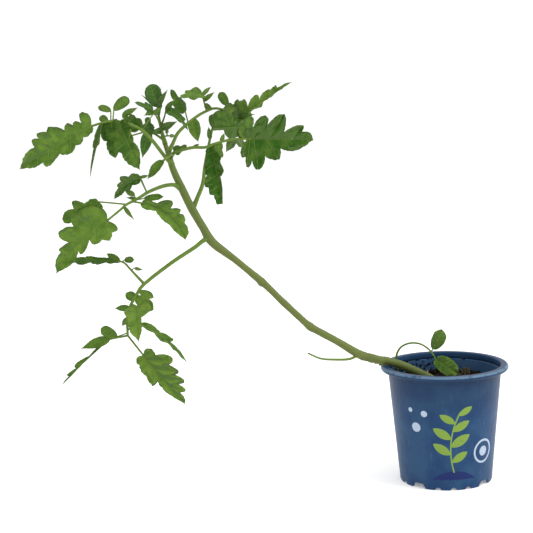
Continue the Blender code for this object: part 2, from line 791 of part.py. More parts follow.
def soil_wave(x, y):
    broad, across, along = BROAD_WAVE
    close, close_across, close_along = CLOSE_WAVE
    lump = broad * math.sin(across * x + 1) * math.cos(along * y)
    return lump + close * math.sin(close_across * x + close_along * y)


def make_soil():
    floor = CHANNEL_HEIGHT + WALL + GAP
    edge_radius = wall_radius(SOIL_TOP) - WALL - GAP
    profile = [(0, SOIL_TOP)]
    profile += [(radius, SOIL_TOP) for radius in reversed(SOIL_RINGS)]
    profile += [
        (edge_radius, SOIL_TOP),
        (wall_radius(floor) - WALL - GAP, floor),
        (PAD_RADIUS + PAD_SLOPE - GAP, floor),
        (PAD_RADIUS - PAD_SLOPE - GAP, WALL + GAP),
        (0, WALL + GAP),
    ]
    soil = turned("soil", profile, plant)
    settle(soil)
    for vert in soil.data.vertices:
        if vert.co.z > (SOIL_TOP - 1) * MM:
            vert.co.z += soil_wave(vert.co.x / MM, vert.co.y / MM) * MM
    holes = collection("soil holes")
    guide(tube("stem hole", *stem_line(MAIN_STEM), holes, resolution=2, grow=GAP))
    shoot = BASAL_SHOOT[0]
    guide(tube("shoot hole", shoot["route"], shoot["radii"], holes, resolution=1, grow=GAP))
    combine(soil, holes, "DIFFERENCE")
    finish(soil, material("soil", (0.018, 0.011, 0.008), 0.95))


def stem_line(places):
    return [place[:3] for place in places], [place[3] for place in places]


def make_main_stem():
    stem = tube("main_stem", *stem_line(MAIN_STEM), plant, resolution=2)
    finish(stem, material("stem", (0.16, 0.20, 0.045), 0.6))


def make_bare_petiole(look):
    petiole = tube("bare_petiole", BARE_PETIOLE, BARE_PETIOLE_RADII, plant)
    seat = collection("bare petiole seat")
    guide(tube("seat", *stem_line(MAIN_STEM), seat, resolution=2, grow=GAP))
    combine(petiole, seat, "DIFFERENCE")
    finish(petiole, look)


def make_buds(look):
    buds = tube("flower_buds", BUD_STALK, BUD_STALK_RADII, plant)
    pieces = collection("bud pieces")
    for (x, y, z), size, lean in BUDS:
        mesh = bpy.data.meshes.new("bud")
        work = bmesh.new()
        bmesh.ops.create_uvsphere(work, u_segments=8, v_segments=6, radius=size * MM)
        bmesh.ops.scale(work, verts=work.verts, vec=(1, BUD_SLIMNESS, BUD_SLIMNESS))
        work.to_mesh(mesh)
        work.free()
        bud = guide(put("bud", mesh, pieces))
        bud.location = Vector((x, y, z)) * MM
        bud.rotation_euler.y = -math.radians(lean)
    guide(tube("bud branch", [BUD_STALK[1], BUDS[1][0]], BUD_BRANCH_RADII, pieces, resolution=0))
    combine(buds, pieces, "UNION")
    settle(buds)
    clear(pieces)
    guide(tube("seat", *stem_line(TIP_STEM), pieces, resolution=2, grow=GAP))
    combine(buds, pieces, "DIFFERENCE")
    finish(buds, look)


for old in list(bpy.data.objects):
    bpy.data.objects.remove(old)
plant = collection("tomato plant in a pot")
leaf_green = material("leaf", (0.035, 0.11, 0.02), 0.55)
young_green = material("young leaf", (0.045, 0.14, 0.035), 0.55)
stalk_green = material("leaf stalk", (0.13, 0.21, 0.035), 0.55)

make_pot()
make_soil()
make_main_stem()
make_bare_petiole(stalk_green)
main_seat = stem_line(MAIN_STEM)
tip_seat = stem_line(TIP_STEM)
spray("leaf_1", LEAF_1, leaf_green, [main_seat])
spray("leaf_2", LEAF_2, leaf_green, [main_seat])
spray("leaf_3", LEAF_3, leaf_green, [main_seat])
spray("leaf_4", LEAF_4, leaf_green, [main_seat])
spray("leaf_5", LEAF_5, leaf_green, [main_seat])
spray("leaf_6", LEAF_6, leaf_green, [main_seat])
spray("leaf_7", LEAF_7, young_green, [tip_seat])
spray("shoot_tip", SHOOT_TIP, young_green, [])
spray("basal_shoot", BASAL_SHOOT, leaf_green, [])
make_buds(young_green)
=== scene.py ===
"""A tomato plant in a round grower's pot, dressed over its solid model.

The sections follow the object as it is put together: pot, soil, stem, side shoots, then the leaves from
the lowest to the growing tip. Lengths are in millimetres and angles in degrees until they reach a mesh.
"""
import math
import random

import bmesh
import bpy
from mathutils import Matrix, Vector, noise


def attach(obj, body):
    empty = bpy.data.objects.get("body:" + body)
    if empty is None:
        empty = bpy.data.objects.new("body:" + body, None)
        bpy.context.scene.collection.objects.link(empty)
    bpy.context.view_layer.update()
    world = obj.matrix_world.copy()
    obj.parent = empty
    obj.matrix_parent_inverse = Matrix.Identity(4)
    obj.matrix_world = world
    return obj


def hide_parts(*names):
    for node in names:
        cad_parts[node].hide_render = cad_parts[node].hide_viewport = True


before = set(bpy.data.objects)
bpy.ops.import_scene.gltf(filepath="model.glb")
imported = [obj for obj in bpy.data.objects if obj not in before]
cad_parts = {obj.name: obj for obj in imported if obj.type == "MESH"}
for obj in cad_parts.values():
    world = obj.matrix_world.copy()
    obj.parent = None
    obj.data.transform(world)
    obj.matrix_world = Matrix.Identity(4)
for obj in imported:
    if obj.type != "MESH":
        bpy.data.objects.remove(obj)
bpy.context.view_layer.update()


# ------------------------------------------------------------------ camera
# The plant is looked at from in front of the pot, from a little above the rim and tilted down to take in
# the floor. The lens is a long one, and the small roll keeps the foot of the pot level.
MM = 0.001
CAMERA_PLACE = (-165, -1300, 398)
CAMERA_TILT = 81.74
CAMERA_ROLL = -1.92
LENS = 94.8

camera = bpy.data.objects.new("camera", bpy.data.cameras.new("camera"))
camera.data.sensor_width = 36
camera.data.lens = LENS
camera.matrix_world = (
    Matrix.Translation(Vector(CAMERA_PLACE) * MM)
    @ Matrix.Rotation(math.radians(CAMERA_TILT), 4, "X")
    @ Matrix.Rotation(math.radians(CAMERA_ROLL), 4, "Z")
)
bpy.context.scene.collection.objects.link(camera)
bpy.context.scene.camera = camera
bpy.context.scene.view_settings.view_transform = "Standard"


# ------------------------------------------------------------------ floor and light
# A wide sheet of matt white board, lit a little from within, under an even white sky, with one large soft
# lamp up on the right. Only a faint shadow is left beside the pot. None of it is part of the object.
FLOOR_SIZE = 6000
SKY_STRENGTH = 1.06
LAMP_PLACE = (900, -500, 1300)
LAMP_SIZE = 700
LAMP_POWER = 12
LAMP_AIM = (-120, 0, 150)
BOARD_GLOW = 0.25
BOARD_PATCH = 300


class Wire:
    """One output in a material's node tree: sums and products of wires add Math nodes."""

    def __init__(self, finish, socket):
        self.finish = finish
        self.socket = socket

    def math(self, operation, *others):
        return self.finish.node("Math", {"operation": operation}, dict(enumerate((self, *others))))

    def __add__(self, other):
        return self.math("ADD", other)

    def __sub__(self, other):
        return self.math("SUBTRACT", other)

    def __rsub__(self, other):
        return self.finish.node("Math", {"operation": "SUBTRACT"}, {0: other, 1: self})

    def __mul__(self, other):
        return self.math("MULTIPLY", other)

    def __truediv__(self, other):
        return self.math("DIVIDE", other)

    def __abs__(self):
        return self.math("ABSOLUTE")

    __radd__ = __add__
    __rmul__ = __mul__


class Finish:
    """A material while its nodes are put together on one Principled surface."""

    def __init__(self, name, fixed=None):
        self.material = bpy.data.materials.new(name)
        self.material.use_nodes = True
        self.tree = self.material.node_tree
        self.surface = self.tree.nodes["Principled BSDF"]
        self.surface_is(fixed or {})

    def node(self, kind, settings=None, sockets=None, output=0):
        new = self.tree.nodes.new("ShaderNode" + kind)
        for setting, value in (settings or {}).items():
            setattr(new, setting, value)
        for socket, value in (sockets or {}).items():
            self.set(new.inputs[socket], value)
        return Wire(self, new.outputs[output])

    def set(self, socket, value):
        if isinstance(value, Wire):
            self.tree.links.new(value.socket, socket)
        elif socket.type == "RGBA":
            socket.default_value = (*value, 1)
        else:
            socket.default_value = value

    def surface_is(self, sockets):
        for socket, value in sockets.items():
            self.set(self.surface.inputs[socket], value)

    def split(self, vector, axes="XYZ"):
        """The named parts of a vector, each as a wire of its own."""
        return [self.node("SeparateXYZ", {}, {0: vector}, output=axis) for axis in axes]

    def places(self):
        """Places on the piece, in millimetres."""
        place = self.node("TexCoord", output="Object")
        return self.node("VectorMath", {"operation": "SCALE"}, {0: place, "Scale": 1 / MM})

    def cloud(self, place, size, detail=2):
        """Soft random patches of about a size in millimetres, from 0 to 1."""
        return self.node("TexNoise", {}, {"Vector": place, "Scale": 1 / size, "Detail": detail})

    def step(self, value, low, high):
        """0 below low and 1 above high, with a smooth change between them."""
        settings = {"interpolation_type": "SMOOTHSTEP"}
        return self.node("MapRange", settings, {0: value, 1: low, 2: high})

    def mix(self, share, first, second):
        """The first colour, with the given share of the second."""
        return self.node("Mix", {"data_type": "RGBA"}, {0: share, 6: first, 7: second}, output=2)

    def bump(self, height, depth, under=None):
        sockets = {"Height": height, "Strength": 1, "Distance": depth * MM}
        if under:
            sockets["Normal"] = under
        return self.node("Bump", {}, sockets)


def board_finish():
    glow = {"Emission Color": (1, 1, 1), "Emission Strength": BOARD_GLOW}
    board = Finish("white board", {"Roughness": 0.9, **glow})
    patches = board.cloud(board.places(), BOARD_PATCH)
    board.surface_is({"Base Color": board.mix(patches, (0.92, 0.92, 0.91), (0.95, 0.95, 0.94))})
    return board


def make_floor():
    work = bmesh.new()
    bmesh.ops.create_grid(work, x_segments=1, y_segments=1, size=FLOOR_SIZE / 2 * MM)
    mesh = bpy.data.meshes.new("floor")
    work.to_mesh(mesh)
    work.free()
    mesh.materials.append(board_finish().material)
    floor = bpy.data.objects.new("floor", mesh)
    bpy.context.scene.collection.objects.link(floor)


def make_light():
    sky = bpy.data.worlds.new("sky")
    sky.use_nodes = True
    sky.node_tree.nodes["Background"].inputs["Color"].default_value = (1, 1, 1, 1)
    sky.node_tree.nodes["Background"].inputs["Strength"].default_value = SKY_STRENGTH
    bpy.context.scene.world = sky
    lamp = bpy.data.objects.new("lamp", bpy.data.lights.new("lamp", "AREA"))
    lamp.data.size = LAMP_SIZE * MM
    lamp.data.energy = LAMP_POWER
    lamp.location = Vector(LAMP_PLACE) * MM
    lamp.rotation_euler = (Vector(LAMP_PLACE) - Vector(LAMP_AIM)).to_track_quat("Z", "Y").to_euler()
    bpy.context.scene.collection.objects.link(lamp)


make_floor()
make_light()


# ------------------------------------------------------------------ pot
# A thin moulded pot of slate blue plastic: a cone with a rolled rim, a raised channel under the floor and
# a skirt with notches that lets the water out. The front carries a printed sprig, drops and rings.
POT_HEIGHT = 111
FOOT_RADIUS = 43.4
WALL = 1.4
WALL_FLARE = 0.0925
RIM_RADIUS = 60
RIM_WIDTH = 7.2
RIM_DEPTH = 4.7
BAND_DEPTH = 3  # the thicker band of wall under the rim
BAND_STEP = 0.6
LEDGE_DEPTH = 2  # from the underside of the rim to the ledge inside it
PAD_RADIUS = 26
CHANNEL_HEIGHT = 5
TURN_STEPS = 540

NOTCHES = 4
NOTCH_WIDTH = 15
NOTCH_TOP_WIDTH = 9
NOTCH_HEIGHT = 4.5
ARCH_RADIUS = 3
ARCH_HEIGHT = 2.4
ARCH_SPACING = 19
FRONT_ARCH = -88  # heading of the middle arch at the front
DRAIN_RADIUS = 3.2
DRAIN_PLACE = 34.5  # from the pot's axis
DRILL_DEPTH = 4

SLATE = (0.006, 0.037, 0.112)
SLATE_PALE = (0.015, 0.059, 0.138)
# Painted light, below: deep slate for painted shade, a lighter inner slate, and a pale slate for the rim's
# painted highlight and the foot's wear.
SLATE_PAINTED_SHADE = (0.003, 0.014, 0.04)
SLATE_INNER_PAINTED_LIGHT = (0.05, 0.115, 0.21)
SLATE_WORN_AND_HIGHLIGHT = (0.15, 0.25, 0.36)
SLATE_STREAK = (0.16, 0.24, 0.33)
LIME = (0.18, 0.29, 0.042)
NAVY = (0.005, 0.016, 0.1)
ICE = (0.38, 0.46, 0.57)
DUST = (0.05, 0.04, 0.03)
PRINT_RADIUS = 48  # of the wall where the print is, for lengths around it
PRINT_FOOT = 10
PRINT_SCALE = 1.25  # of all the motifs below, from the print's foot
INK_EDGE = 0.12  # half the width over which ink fades out
MOUND = ((2, -10), 27)  # middle and radius of a round motif, around the wall and up it
DROPS = [((-27, 50), 3.6), ((-20, 61), 2.4), ((-31, 63), 1.7)]
DOT = ((27, 30), 3.8)
RING_RADIUS = 8.5
RING_WIDTH = 1.6
SPRIG_MIDDLE = (61, 34)  # of the circle that the sprig's stem follows
SPRIG_BEND = 62
SPRIG_STEM = 1.1
SPRIG_ENDS = (16, 62.8)  # heights
SPRIG_LEAVES = 7
SPRIG_FIRST = 24  # height of the lowest leaf
SPRIG_SPACING = 6
SPRIG_LONGEST = 17
SPRIG_LEAN = 58
SPRIG_SLIMNESS = 0.42


def piece(name, work, finish, nodes=(), sharp=180):
    """A finished mesh as a piece of the plant, which stands for nodes of the solid model.

    Edges that turn by more than the angle sharp stay hard in the shading.
    """
    mesh = bpy.data.meshes.new(name)
    work.to_mesh(mesh)
    work.free()
    mesh.materials.append(finish.material)
    mesh.shade_smooth()
    mesh.set_sharp_from_angle(angle=math.radians(sharp))
    new = bpy.data.objects.new(name, mesh)
    bpy.context.scene.collection.objects.link(new)
    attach(new, "root")
    if nodes:
        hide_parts(*nodes)
    return new


def wall_radius(height):
    return FOOT_RADIUS + WALL_FLARE * height


def arc(middle, radius, start, end, steps):
    """Points of an arc in a profile, from one angle to another."""
    angles = [math.radians(start + (end - start) * step / steps) for step in range(steps + 1)]
    return [(middle[0] + radius * math.cos(a), middle[1] + radius * math.sin(a)) for a in angles]


def turn(work, profile, steps):
    """A profile of radius and height, turned about Z into a closed shell."""
    points = [work.verts.new((radius * MM, 0, height * MM)) for radius, height in profile]
    edges = [work.edges.new(pair) for pair in zip(points, points[1:])]
    bmesh.ops.spin(
        work, geom=points + edges, cent=(0, 0, 0), axis=(0, 0, 1),
        angle=math.tau, steps=steps, use_merge=True,
    )
    bmesh.ops.remove_doubles(work, verts=work.verts, dist=0.00001)
    bmesh.ops.recalc_face_normals(work, faces=work.faces)


def pot_profile():
    floor = CHANNEL_HEIGHT + WALL
    under = POT_HEIGHT - RIM_DEPTH
    ledge = under - LEDGE_DEPTH
    band = under - BAND_DEPTH
    inner = RIM_RADIUS - RIM_WIDTH
    foot = FOOT_RADIUS
    return [
        (0, WALL),
        (PAD_RADIUS - 1, WALL),
        (PAD_RADIUS + 1, floor),
        (wall_radius(floor) - WALL - 1, floor),
        (wall_radius(floor + 1) - WALL, floor + 1),
        (wall_radius(60) - WALL, 60),
        (wall_radius(ledge) - WALL, ledge),
        (wall_radius(ledge) - WALL + 0.4, ledge + 0.4),
        (wall_radius(ledge) + 0.2, ledge + 0.7),
        (inner - 0.3, ledge + 1.2),
        (inner, POT_HEIGHT - 1.6),
        *arc((inner + 1.3, POT_HEIGHT - 1.3), 1.3, 180, 90, 5),
        *arc((RIM_RADIUS - 2.4, POT_HEIGHT - 2.4), 2.4, 90, -30, 9),
        *arc((RIM_RADIUS - 1.6, under + 1), 1, -10, -90, 4),
        (wall_radius(under) + BAND_STEP + 0.6, under),
        *arc((wall_radius(under) + BAND_STEP + 0.6, under - 0.5), 0.5, 90, 180, 3),
        (wall_radius(band) + BAND_STEP, band + 0.6),
        (wall_radius(band) + BAND_STEP - 0.1, band + 0.2),
        (wall_radius(band), band),
        *[(wall_radius(height), height) for height in (88, 60, 30, 8)],
        (wall_radius(1), 0.4),
        (foot - 0.3, 0),
        (foot - WALL + 0.3, 0),
        (foot - WALL, 0.4),
        (foot - WALL, CHANNEL_HEIGHT),
        (PAD_RADIUS + 2, CHANNEL_HEIGHT),
        (PAD_RADIUS + 0.2, 0.4),
        (PAD_RADIUS - 0.4, 0),
        (0, 0),
    ]


def around(angle, middle):
    """Length along the foot from a heading, in millimetres."""
    turned = (angle - middle + 180) % 360 - 180
    return abs(math.radians(turned)) * FOOT_RADIUS


def foot_height(angle):
    """Height of the skirt's lower edge: wide notches, with three small arches between each pair."""
    height = 0
    for side in range(NOTCHES):
        middle = FRONT_ARCH + 360 / NOTCHES * side
        away = around(angle, middle + 180 / NOTCHES)
        slope = (NOTCH_WIDTH - NOTCH_TOP_WIDTH) / 2
        height = max(height, min(1, (NOTCH_WIDTH / 2 - away) / slope) * NOTCH_HEIGHT)
        for step in (-1, 0, 1):
            away = around(angle, middle + ARCH_SPACING * step)
            if away < ARCH_RADIUS:
                height = max(height, math.sqrt(ARCH_RADIUS ** 2 - away ** 2) + ARCH_HEIGHT - ARCH_RADIUS)
    return height


def notch_foot(work):
    for vert in work.verts:
        x, y, z = vert.co / MM
        if z < 0.5 and math.hypot(x, y) > FOOT_RADIUS - WALL - 0.1:
            vert.co.z += foot_height(math.degrees(math.atan2(y, x))) * MM


def drill_drains(pot):
    """Eight drain holes through the raised channel."""
    drills = bpy.data.collections.new("drills")
    mesh = bpy.data.meshes.new("drill")
    work = bmesh.new()
    for side in range(2 * NOTCHES):
        at = Matrix.Rotation(math.radians(FRONT_ARCH + 180 / NOTCHES * side), 4, "Z")
        at = at @ Matrix.Translation((DRAIN_PLACE * MM, 0, CHANNEL_HEIGHT * MM))
        radius = DRAIN_RADIUS * MM
        bmesh.ops.create_cone(
            work, cap_ends=True, segments=32, radius1=radius, radius2=radius,
            depth=DRILL_DEPTH * MM, matrix=at,
        )
    work.to_mesh(mesh)
    work.free()
    drill = bpy.data.objects.new("drill", mesh)
    drills.objects.link(drill)
    cut = pot.modifiers.new("drains", "BOOLEAN")
    cut.object = drill
    bpy.context.view_layer.update()
    drilled = bpy.data.meshes.new_from_object(pot.evaluated_get(bpy.context.evaluated_depsgraph_get()))
    pot.modifiers.clear()
    pot.data = drilled
    bpy.data.objects.remove(drill)
    bpy.data.collections.remove(drills)


def inside(finish, distance, radius):
    """1 where a distance is under a radius, with an edge as soft as printed ink."""
    return finish.step(distance, radius + INK_EDGE, radius - INK_EDGE)


def distance(finish, spot, middle):
    """Distance of a printed spot from a middle, both lengths around the wall and up it."""
    return finish.node("VectorMath", {"operation": "DISTANCE"}, {0: spot, 1: (*middle, 0)}, output="Value")


def ink_disc(finish, spot, middle, radius):
    return inside(finish, distance(finish, spot, middle), radius)


def ink_leaf(finish, spot, base, heading, length, width):
    """A pointed leaf: where two discs overlap."""
    radius = (length ** 2 + width ** 2) / (4 * width)
    along = Vector((math.cos(math.radians(heading)), math.sin(math.radians(heading))))
    aside = Vector((-along.y, along.x)) * (radius - width / 2)
    middle = Vector(base) + along * length / 2
    return ink_disc(finish, spot, middle + aside, radius) * ink_disc(finish, spot, middle - aside, radius)


def ink_ring(finish, spot, middle, radius, width):
    return inside(finish, abs(distance(finish, spot, middle) - radius), width / 2)


def sprig(finish, spot):
    """A printed sprig: a bent stem with leaves on both sides, of which the third is the largest."""
    middle, level = SPRIG_MIDDLE
    low, high = SPRIG_ENDS
    stem = ink_ring(finish, spot, SPRIG_MIDDLE, SPRIG_BEND, SPRIG_STEM)
    aside, up = finish.split(spot, "XY")
    ink = stem * finish.step(up, low - 0.2, low + 0.2) * finish.step(up, high + 0.2, high - 0.2)
    ink = ink * finish.step(aside, middle, middle - 1)  # the rest of the circle isn't printed
    for number in range(SPRIG_LEAVES):
        height = SPRIG_FIRST + SPRIG_SPACING * number
        side = -1 if number % 2 else 1
        base = (middle - math.sqrt(SPRIG_BEND ** 2 - (height - level) ** 2), height)
        length = SPRIG_LONGEST - 1.3 * abs(number - 2)
        ink = ink + ink_leaf(finish, spot, base, 90 - SPRIG_LEAN * side, length, SPRIG_SLIMNESS * length)
    return ink.math("MINIMUM", 1)


def slate_wear_and_painted_light(pot, place, radius, z, outer):
    """The plastic's colour, patchy and streaked, with painted light on it: lighter inside, painted shade on
    the upper wall, under the rim and at the band's step, and a painted highlight on the rim's top edge; pale
    where the foot is rubbed.
    """
    colour = pot.mix(pot.step(pot.cloud(place, 22, 3), 0.35, 0.7), SLATE, SLATE_PALE)
    upright = pot.node("VectorMath", {"operation": "MULTIPLY"}, {0: place, 1: (1, 1, 0.06)})
    streaks = pot.step(pot.cloud(upright, 1.6, 3), 0.6, 0.78)
    colour = pot.mix(streaks * 0.12, colour, SLATE_STREAK)
    # Painted light: the inner wall is painted a lighter blue than the outside.
    colour = pot.mix((1 - outer) * 0.5, colour, SLATE_INNER_PAINTED_LIGHT)
    # Painted shade on the upper part of the outer wall, below the rim.
    colour = pot.mix(pot.step(z, 62, 98) * outer * 0.4, colour, SLATE_PAINTED_SHADE)

    # A painted highlight along the rim's top outer edge, and real pale wear rubbed along the foot.
    corner = RIM_RADIUS + POT_HEIGHT - 2
    rim_highlight_and_foot_wear = pot.step(pot.cloud(place, 6, 3), 0.25, 0.5) * pot.step(radius + z, corner - 0.3, corner + 0.3)
    rim_highlight_and_foot_wear = rim_highlight_and_foot_wear + pot.step(pot.cloud(place, 0.9, 4), 0.6, 0.72) * pot.step(z, 2.5, 0) * 0.6
    colour = pot.mix(rim_highlight_and_foot_wear * 0.6, colour, SLATE_WORN_AND_HIGHLIGHT)

    # Painted shade: a dark strip under the rim, and a dark line at the step at the foot of the band.
    under = POT_HEIGHT - RIM_DEPTH
    shade = pot.step(z, under - 1.9, under - 0.5) * pot.step(z, under + 1, under + 0.1)
    band = pot.step(abs(z - (under - BAND_DEPTH - 0.1)), 0.6, 0.3)
    return pot.mix((shade * 0.85 + band * 0.5) * outer, colour, SLATE_PAINTED_SHADE)


def printed(pot, colour, place, spot, z, outer):
    """The print on the front, a little worn: mound, dot in its ring, drops and sprig."""
    worn = pot.step(pot.cloud(place, 0.7, 3), 0.28, 0.4) * outer
    mound = ink_disc(pot, spot, *MOUND) * pot.step(z, PRINT_FOOT + 0.2, PRINT_FOOT + 0.5)
    pale = ink_ring(pot, spot, DOT[0], RING_RADIUS, RING_WIDTH) + ink_disc(pot, spot, *DOT)
    for drop in DROPS:
        pale = pale + ink_disc(pot, spot, *drop)
    for ink, hue in ((mound, NAVY), (pale, ICE), (sprig(pot, spot), LIME)):
        colour = pot.mix(ink * worn, colour, hue)
    return colour


def pot_finish():
    pot = Finish("slate blue plastic", {"IOR": 1.46, "Specular IOR Level": 0.22})
    place = pot.places()
    x, y, z = pot.split(place)
    angle = x.math("ARCTAN2", 0 - y)  # 0 at the front, and larger to the right
    high = (z - PRINT_FOOT) / PRINT_SCALE + PRINT_FOOT
    spot = pot.node("CombineXYZ", {}, {0: angle * (PRINT_RADIUS / PRINT_SCALE), 1: high})
    radius = (x * x + y * y).math("SQRT")
    outer = pot.step(radius - z * WALL_FLARE, FOOT_RADIUS - 0.9, FOOT_RADIUS - 0.6)

    colour = slate_wear_and_painted_light(pot, place, radius, z, outer)
    colour = printed(pot, colour, place, spot, z, outer)
    film = pot.step(pot.cloud(place, 3.5, 4), 0.5, 0.68) * pot.step(z, 110, 96) * 0.3
    specks = pot.step(pot.cloud(place, 1.4, 2), 0.66, 0.72) * 0.5
    colour = pot.mix((film + specks) * (1 - outer), colour, DUST)

    grain = pot.cloud(place, 0.35, 2)
    ripples = pot.cloud(place, 6, 2)
    pot.surface_is({
        "Base Color": colour,
        "Roughness": pot.cloud(place, 22, 3) * 0.14 + grain * 0.08 + 0.32,
        "Normal": pot.bump(grain, 0.02, pot.bump(ripples, 0.25)),
    })
    return pot


def make_pot():
    work = bmesh.new()
    turn(work, pot_profile(), TURN_STEPS)
    notch_foot(work)
    pot = piece("grower_pot", work, pot_finish(), ["pot"], sharp=32)
    drill_drains(pot)


make_pot()


# ------------------------------------------------------------------ soil
# Dark potting soil of peat and bark, filled to a thumb's width below the rim: a lumpy bed with loose crumbs,
# a few fibres, grains of perlite and a tuft of moss. Crumbs cling to the inner wall and under the stem.
SOIL_TOP = 94
SOIL_GAP = 0.3
SOIL_TURN = 180
SOIL_RINGS = 34
CRUMBS = 520
CRUMB_REACH = 49  # how far from the pot's axis crumbs lie
FIBRES = 60
FIBRE_REACH = 46
WALL_CRUMBS = 400
WALL_CRUMB_HEADING = (122, 28)  # the middle and the spread of their headings, at the back left
STEM_CRUMBS = 26
STEM_CRUMB_RANGE = (-76, -58)
GRAINS = [
    (-13, 25, 1.5), (20, 18, 0.7), (22, -22, 0.8), (-20, -25, 0.7), (30, 10, 0.9), (12, -33, 0.7),
    (-12, 34, 0.8),
]
MOSS_PLACE = (23, 24)
MOSS_SPREAD = 4.5
MOSS_THREADS = 130
MOSS_HEIGHT = 5


def soil_height(x, y):
    """Height of the bed: the broad lumps of the solid model with finer ones on them."""
    broad = 1.6 * math.sin(0.16 * x + 1) * math.cos(0.13 * y) + 0.9 * math.sin(0.45 * x + 0.38 * y)
    fine = noise.fractal((x / 5, y / 5, 3.7), 0.8, 2.1, 4)
    return SOIL_TOP + broad + 1.3 * fine


def soil_finish():
    soil = Finish("potting soil", {"IOR": 1.15})
    place = soil.places()
    coarse = soil.cloud(place, 3, 5)
    fine = soil.cloud(place, 0.7, 3)
    colour = soil.mix(soil.step(coarse, 0.35, 0.65), (0.0025, 0.002, 0.001), (0.011, 0.0078, 0.0042))
    colour = soil.mix(soil.step(fine, 0.68, 0.8) * 0.55, colour, (0.045, 0.03, 0.015))
    soil.surface_is({
        "Base Color": colour,
        "Roughness": coarse * 0.2 + 0.72,
        "Normal": soil.bump(fine, 0.5, soil.bump(coarse, 1.2)),
    })
    return soil


def make_soil_bed():
    floor = CHANNEL_HEIGHT + WALL + SOIL_GAP
    edge_radius = wall_radius(SOIL_TOP) - WALL - SOIL_GAP
    profile = [(edge_radius * ring / SOIL_RINGS, SOIL_TOP) for ring in range(SOIL_RINGS + 1)]
    profile += [
        (wall_radius(floor) - WALL - SOIL_GAP, floor),
        (PAD_RADIUS + 1 - SOIL_GAP, floor),
        (PAD_RADIUS - 1 - SOIL_GAP, WALL + SOIL_GAP),
        (0, WALL + SOIL_GAP),
    ]
    work = bmesh.new()
    turn(work, profile, SOIL_TURN)
    for vert in work.verts:
        x, y, z = vert.co / MM
        if z > SOIL_TOP - 1:
            vert.co.z = soil_height(x, y) * MM
    piece("soil_bed", work, potting_soil, ["soil"])


def crumb(work, place, size, draw, detail=1):
    """A rough lump with flattened, uneven sides."""
    turned = Matrix.Rotation(draw.uniform(0, math.tau), 4, Vector([draw.uniform(-1, 1) for _ in range(3)]))
    lump = bmesh.ops.create_icosphere(work, subdivisions=detail, radius=size * MM)["verts"]
    for vert in lump:
        vert.co *= draw.uniform(0.75, 1.2)
    squash = Matrix.Diagonal((1, draw.uniform(0.6, 1), draw.uniform(0.45, 0.8), 1))
    bmesh.ops.transform(work, verts=lump, matrix=Matrix.Translation(Vector(place) * MM) @ turned @ squash)


def wall_spot(angle, height, off):
    """A place that far off the pot's inner wall."""
    radius = wall_radius(height) - WALL - off
    return (radius * math.cos(math.radians(angle)), radius * math.sin(math.radians(angle)), height)


def make_crumbs():
    """Loose crumbs on the bed, on the inner wall and under the stem where it crosses the rim."""
    draw = random.Random(11)
    work = bmesh.new()
    for _ in range(CRUMBS):
        away = CRUMB_REACH * math.sqrt(draw.random())
        turned = draw.uniform(0, math.tau)
        x, y = away * math.cos(turned), away * math.sin(turned)
        size = 0.5 + 2.1 * draw.random() ** 3
        crumb(work, (x, y, soil_height(x, y) + 0.3 * size), size, draw, 2 if size > 1.4 else 1)
    for _ in range(WALL_CRUMBS):
        size = 0.3 + 0.9 * draw.random() ** 2
        angle = draw.gauss(*WALL_CRUMB_HEADING)
        height = min(draw.uniform(93, 97) + abs(draw.gauss(0, 6)), 105)
        crumb(work, wall_spot(angle, height, 0.3 * size), size, draw)
    for _ in range(STEM_CRUMBS):
        along = draw.uniform(*STEM_CRUMB_RANGE)
        size = 0.4 + 0.9 * draw.random()
        aside = draw.uniform(-3, 3)
        height = POT_HEIGHT + 1 - 0.3 * (along - STEM_CRUMB_RANGE[1]) + draw.uniform(-1, 0.6)
        crumb(work, (along, aside, height), size, draw)
    piece("soil_crumbs", work, potting_soil, sharp=60)


def fibre_finish():
    fibre = Finish("coir fibre")
    patches = fibre.cloud(fibre.places(), 2)
    fibre.surface_is({
        "Base Color": fibre.mix(patches, (0.03, 0.018, 0.01), (0.13, 0.08, 0.04)),
        "Roughness": patches * 0.2 + 0.6,
    })
    return fibre


def curve_through(points, steps):
    """A smooth curve through points of any number of values, with steps places between each pair."""
    points = [Vector(point) for point in points]
    run = [points[0] * 2 - points[1], *points, points[-1] * 2 - points[-2]]
    curve = []
    for a, b, c, d in zip(run, run[1:], run[2:], run[3:]):
        for step in range(steps):
            t = step / steps
            bend = (2 * a - 5 * b + 4 * c - d) * t ** 2 + (3 * b - a - 3 * c + d) * t ** 3
            curve.append((2 * b + (c - a) * t + bend) / 2)
    return curve + [points[-1]]


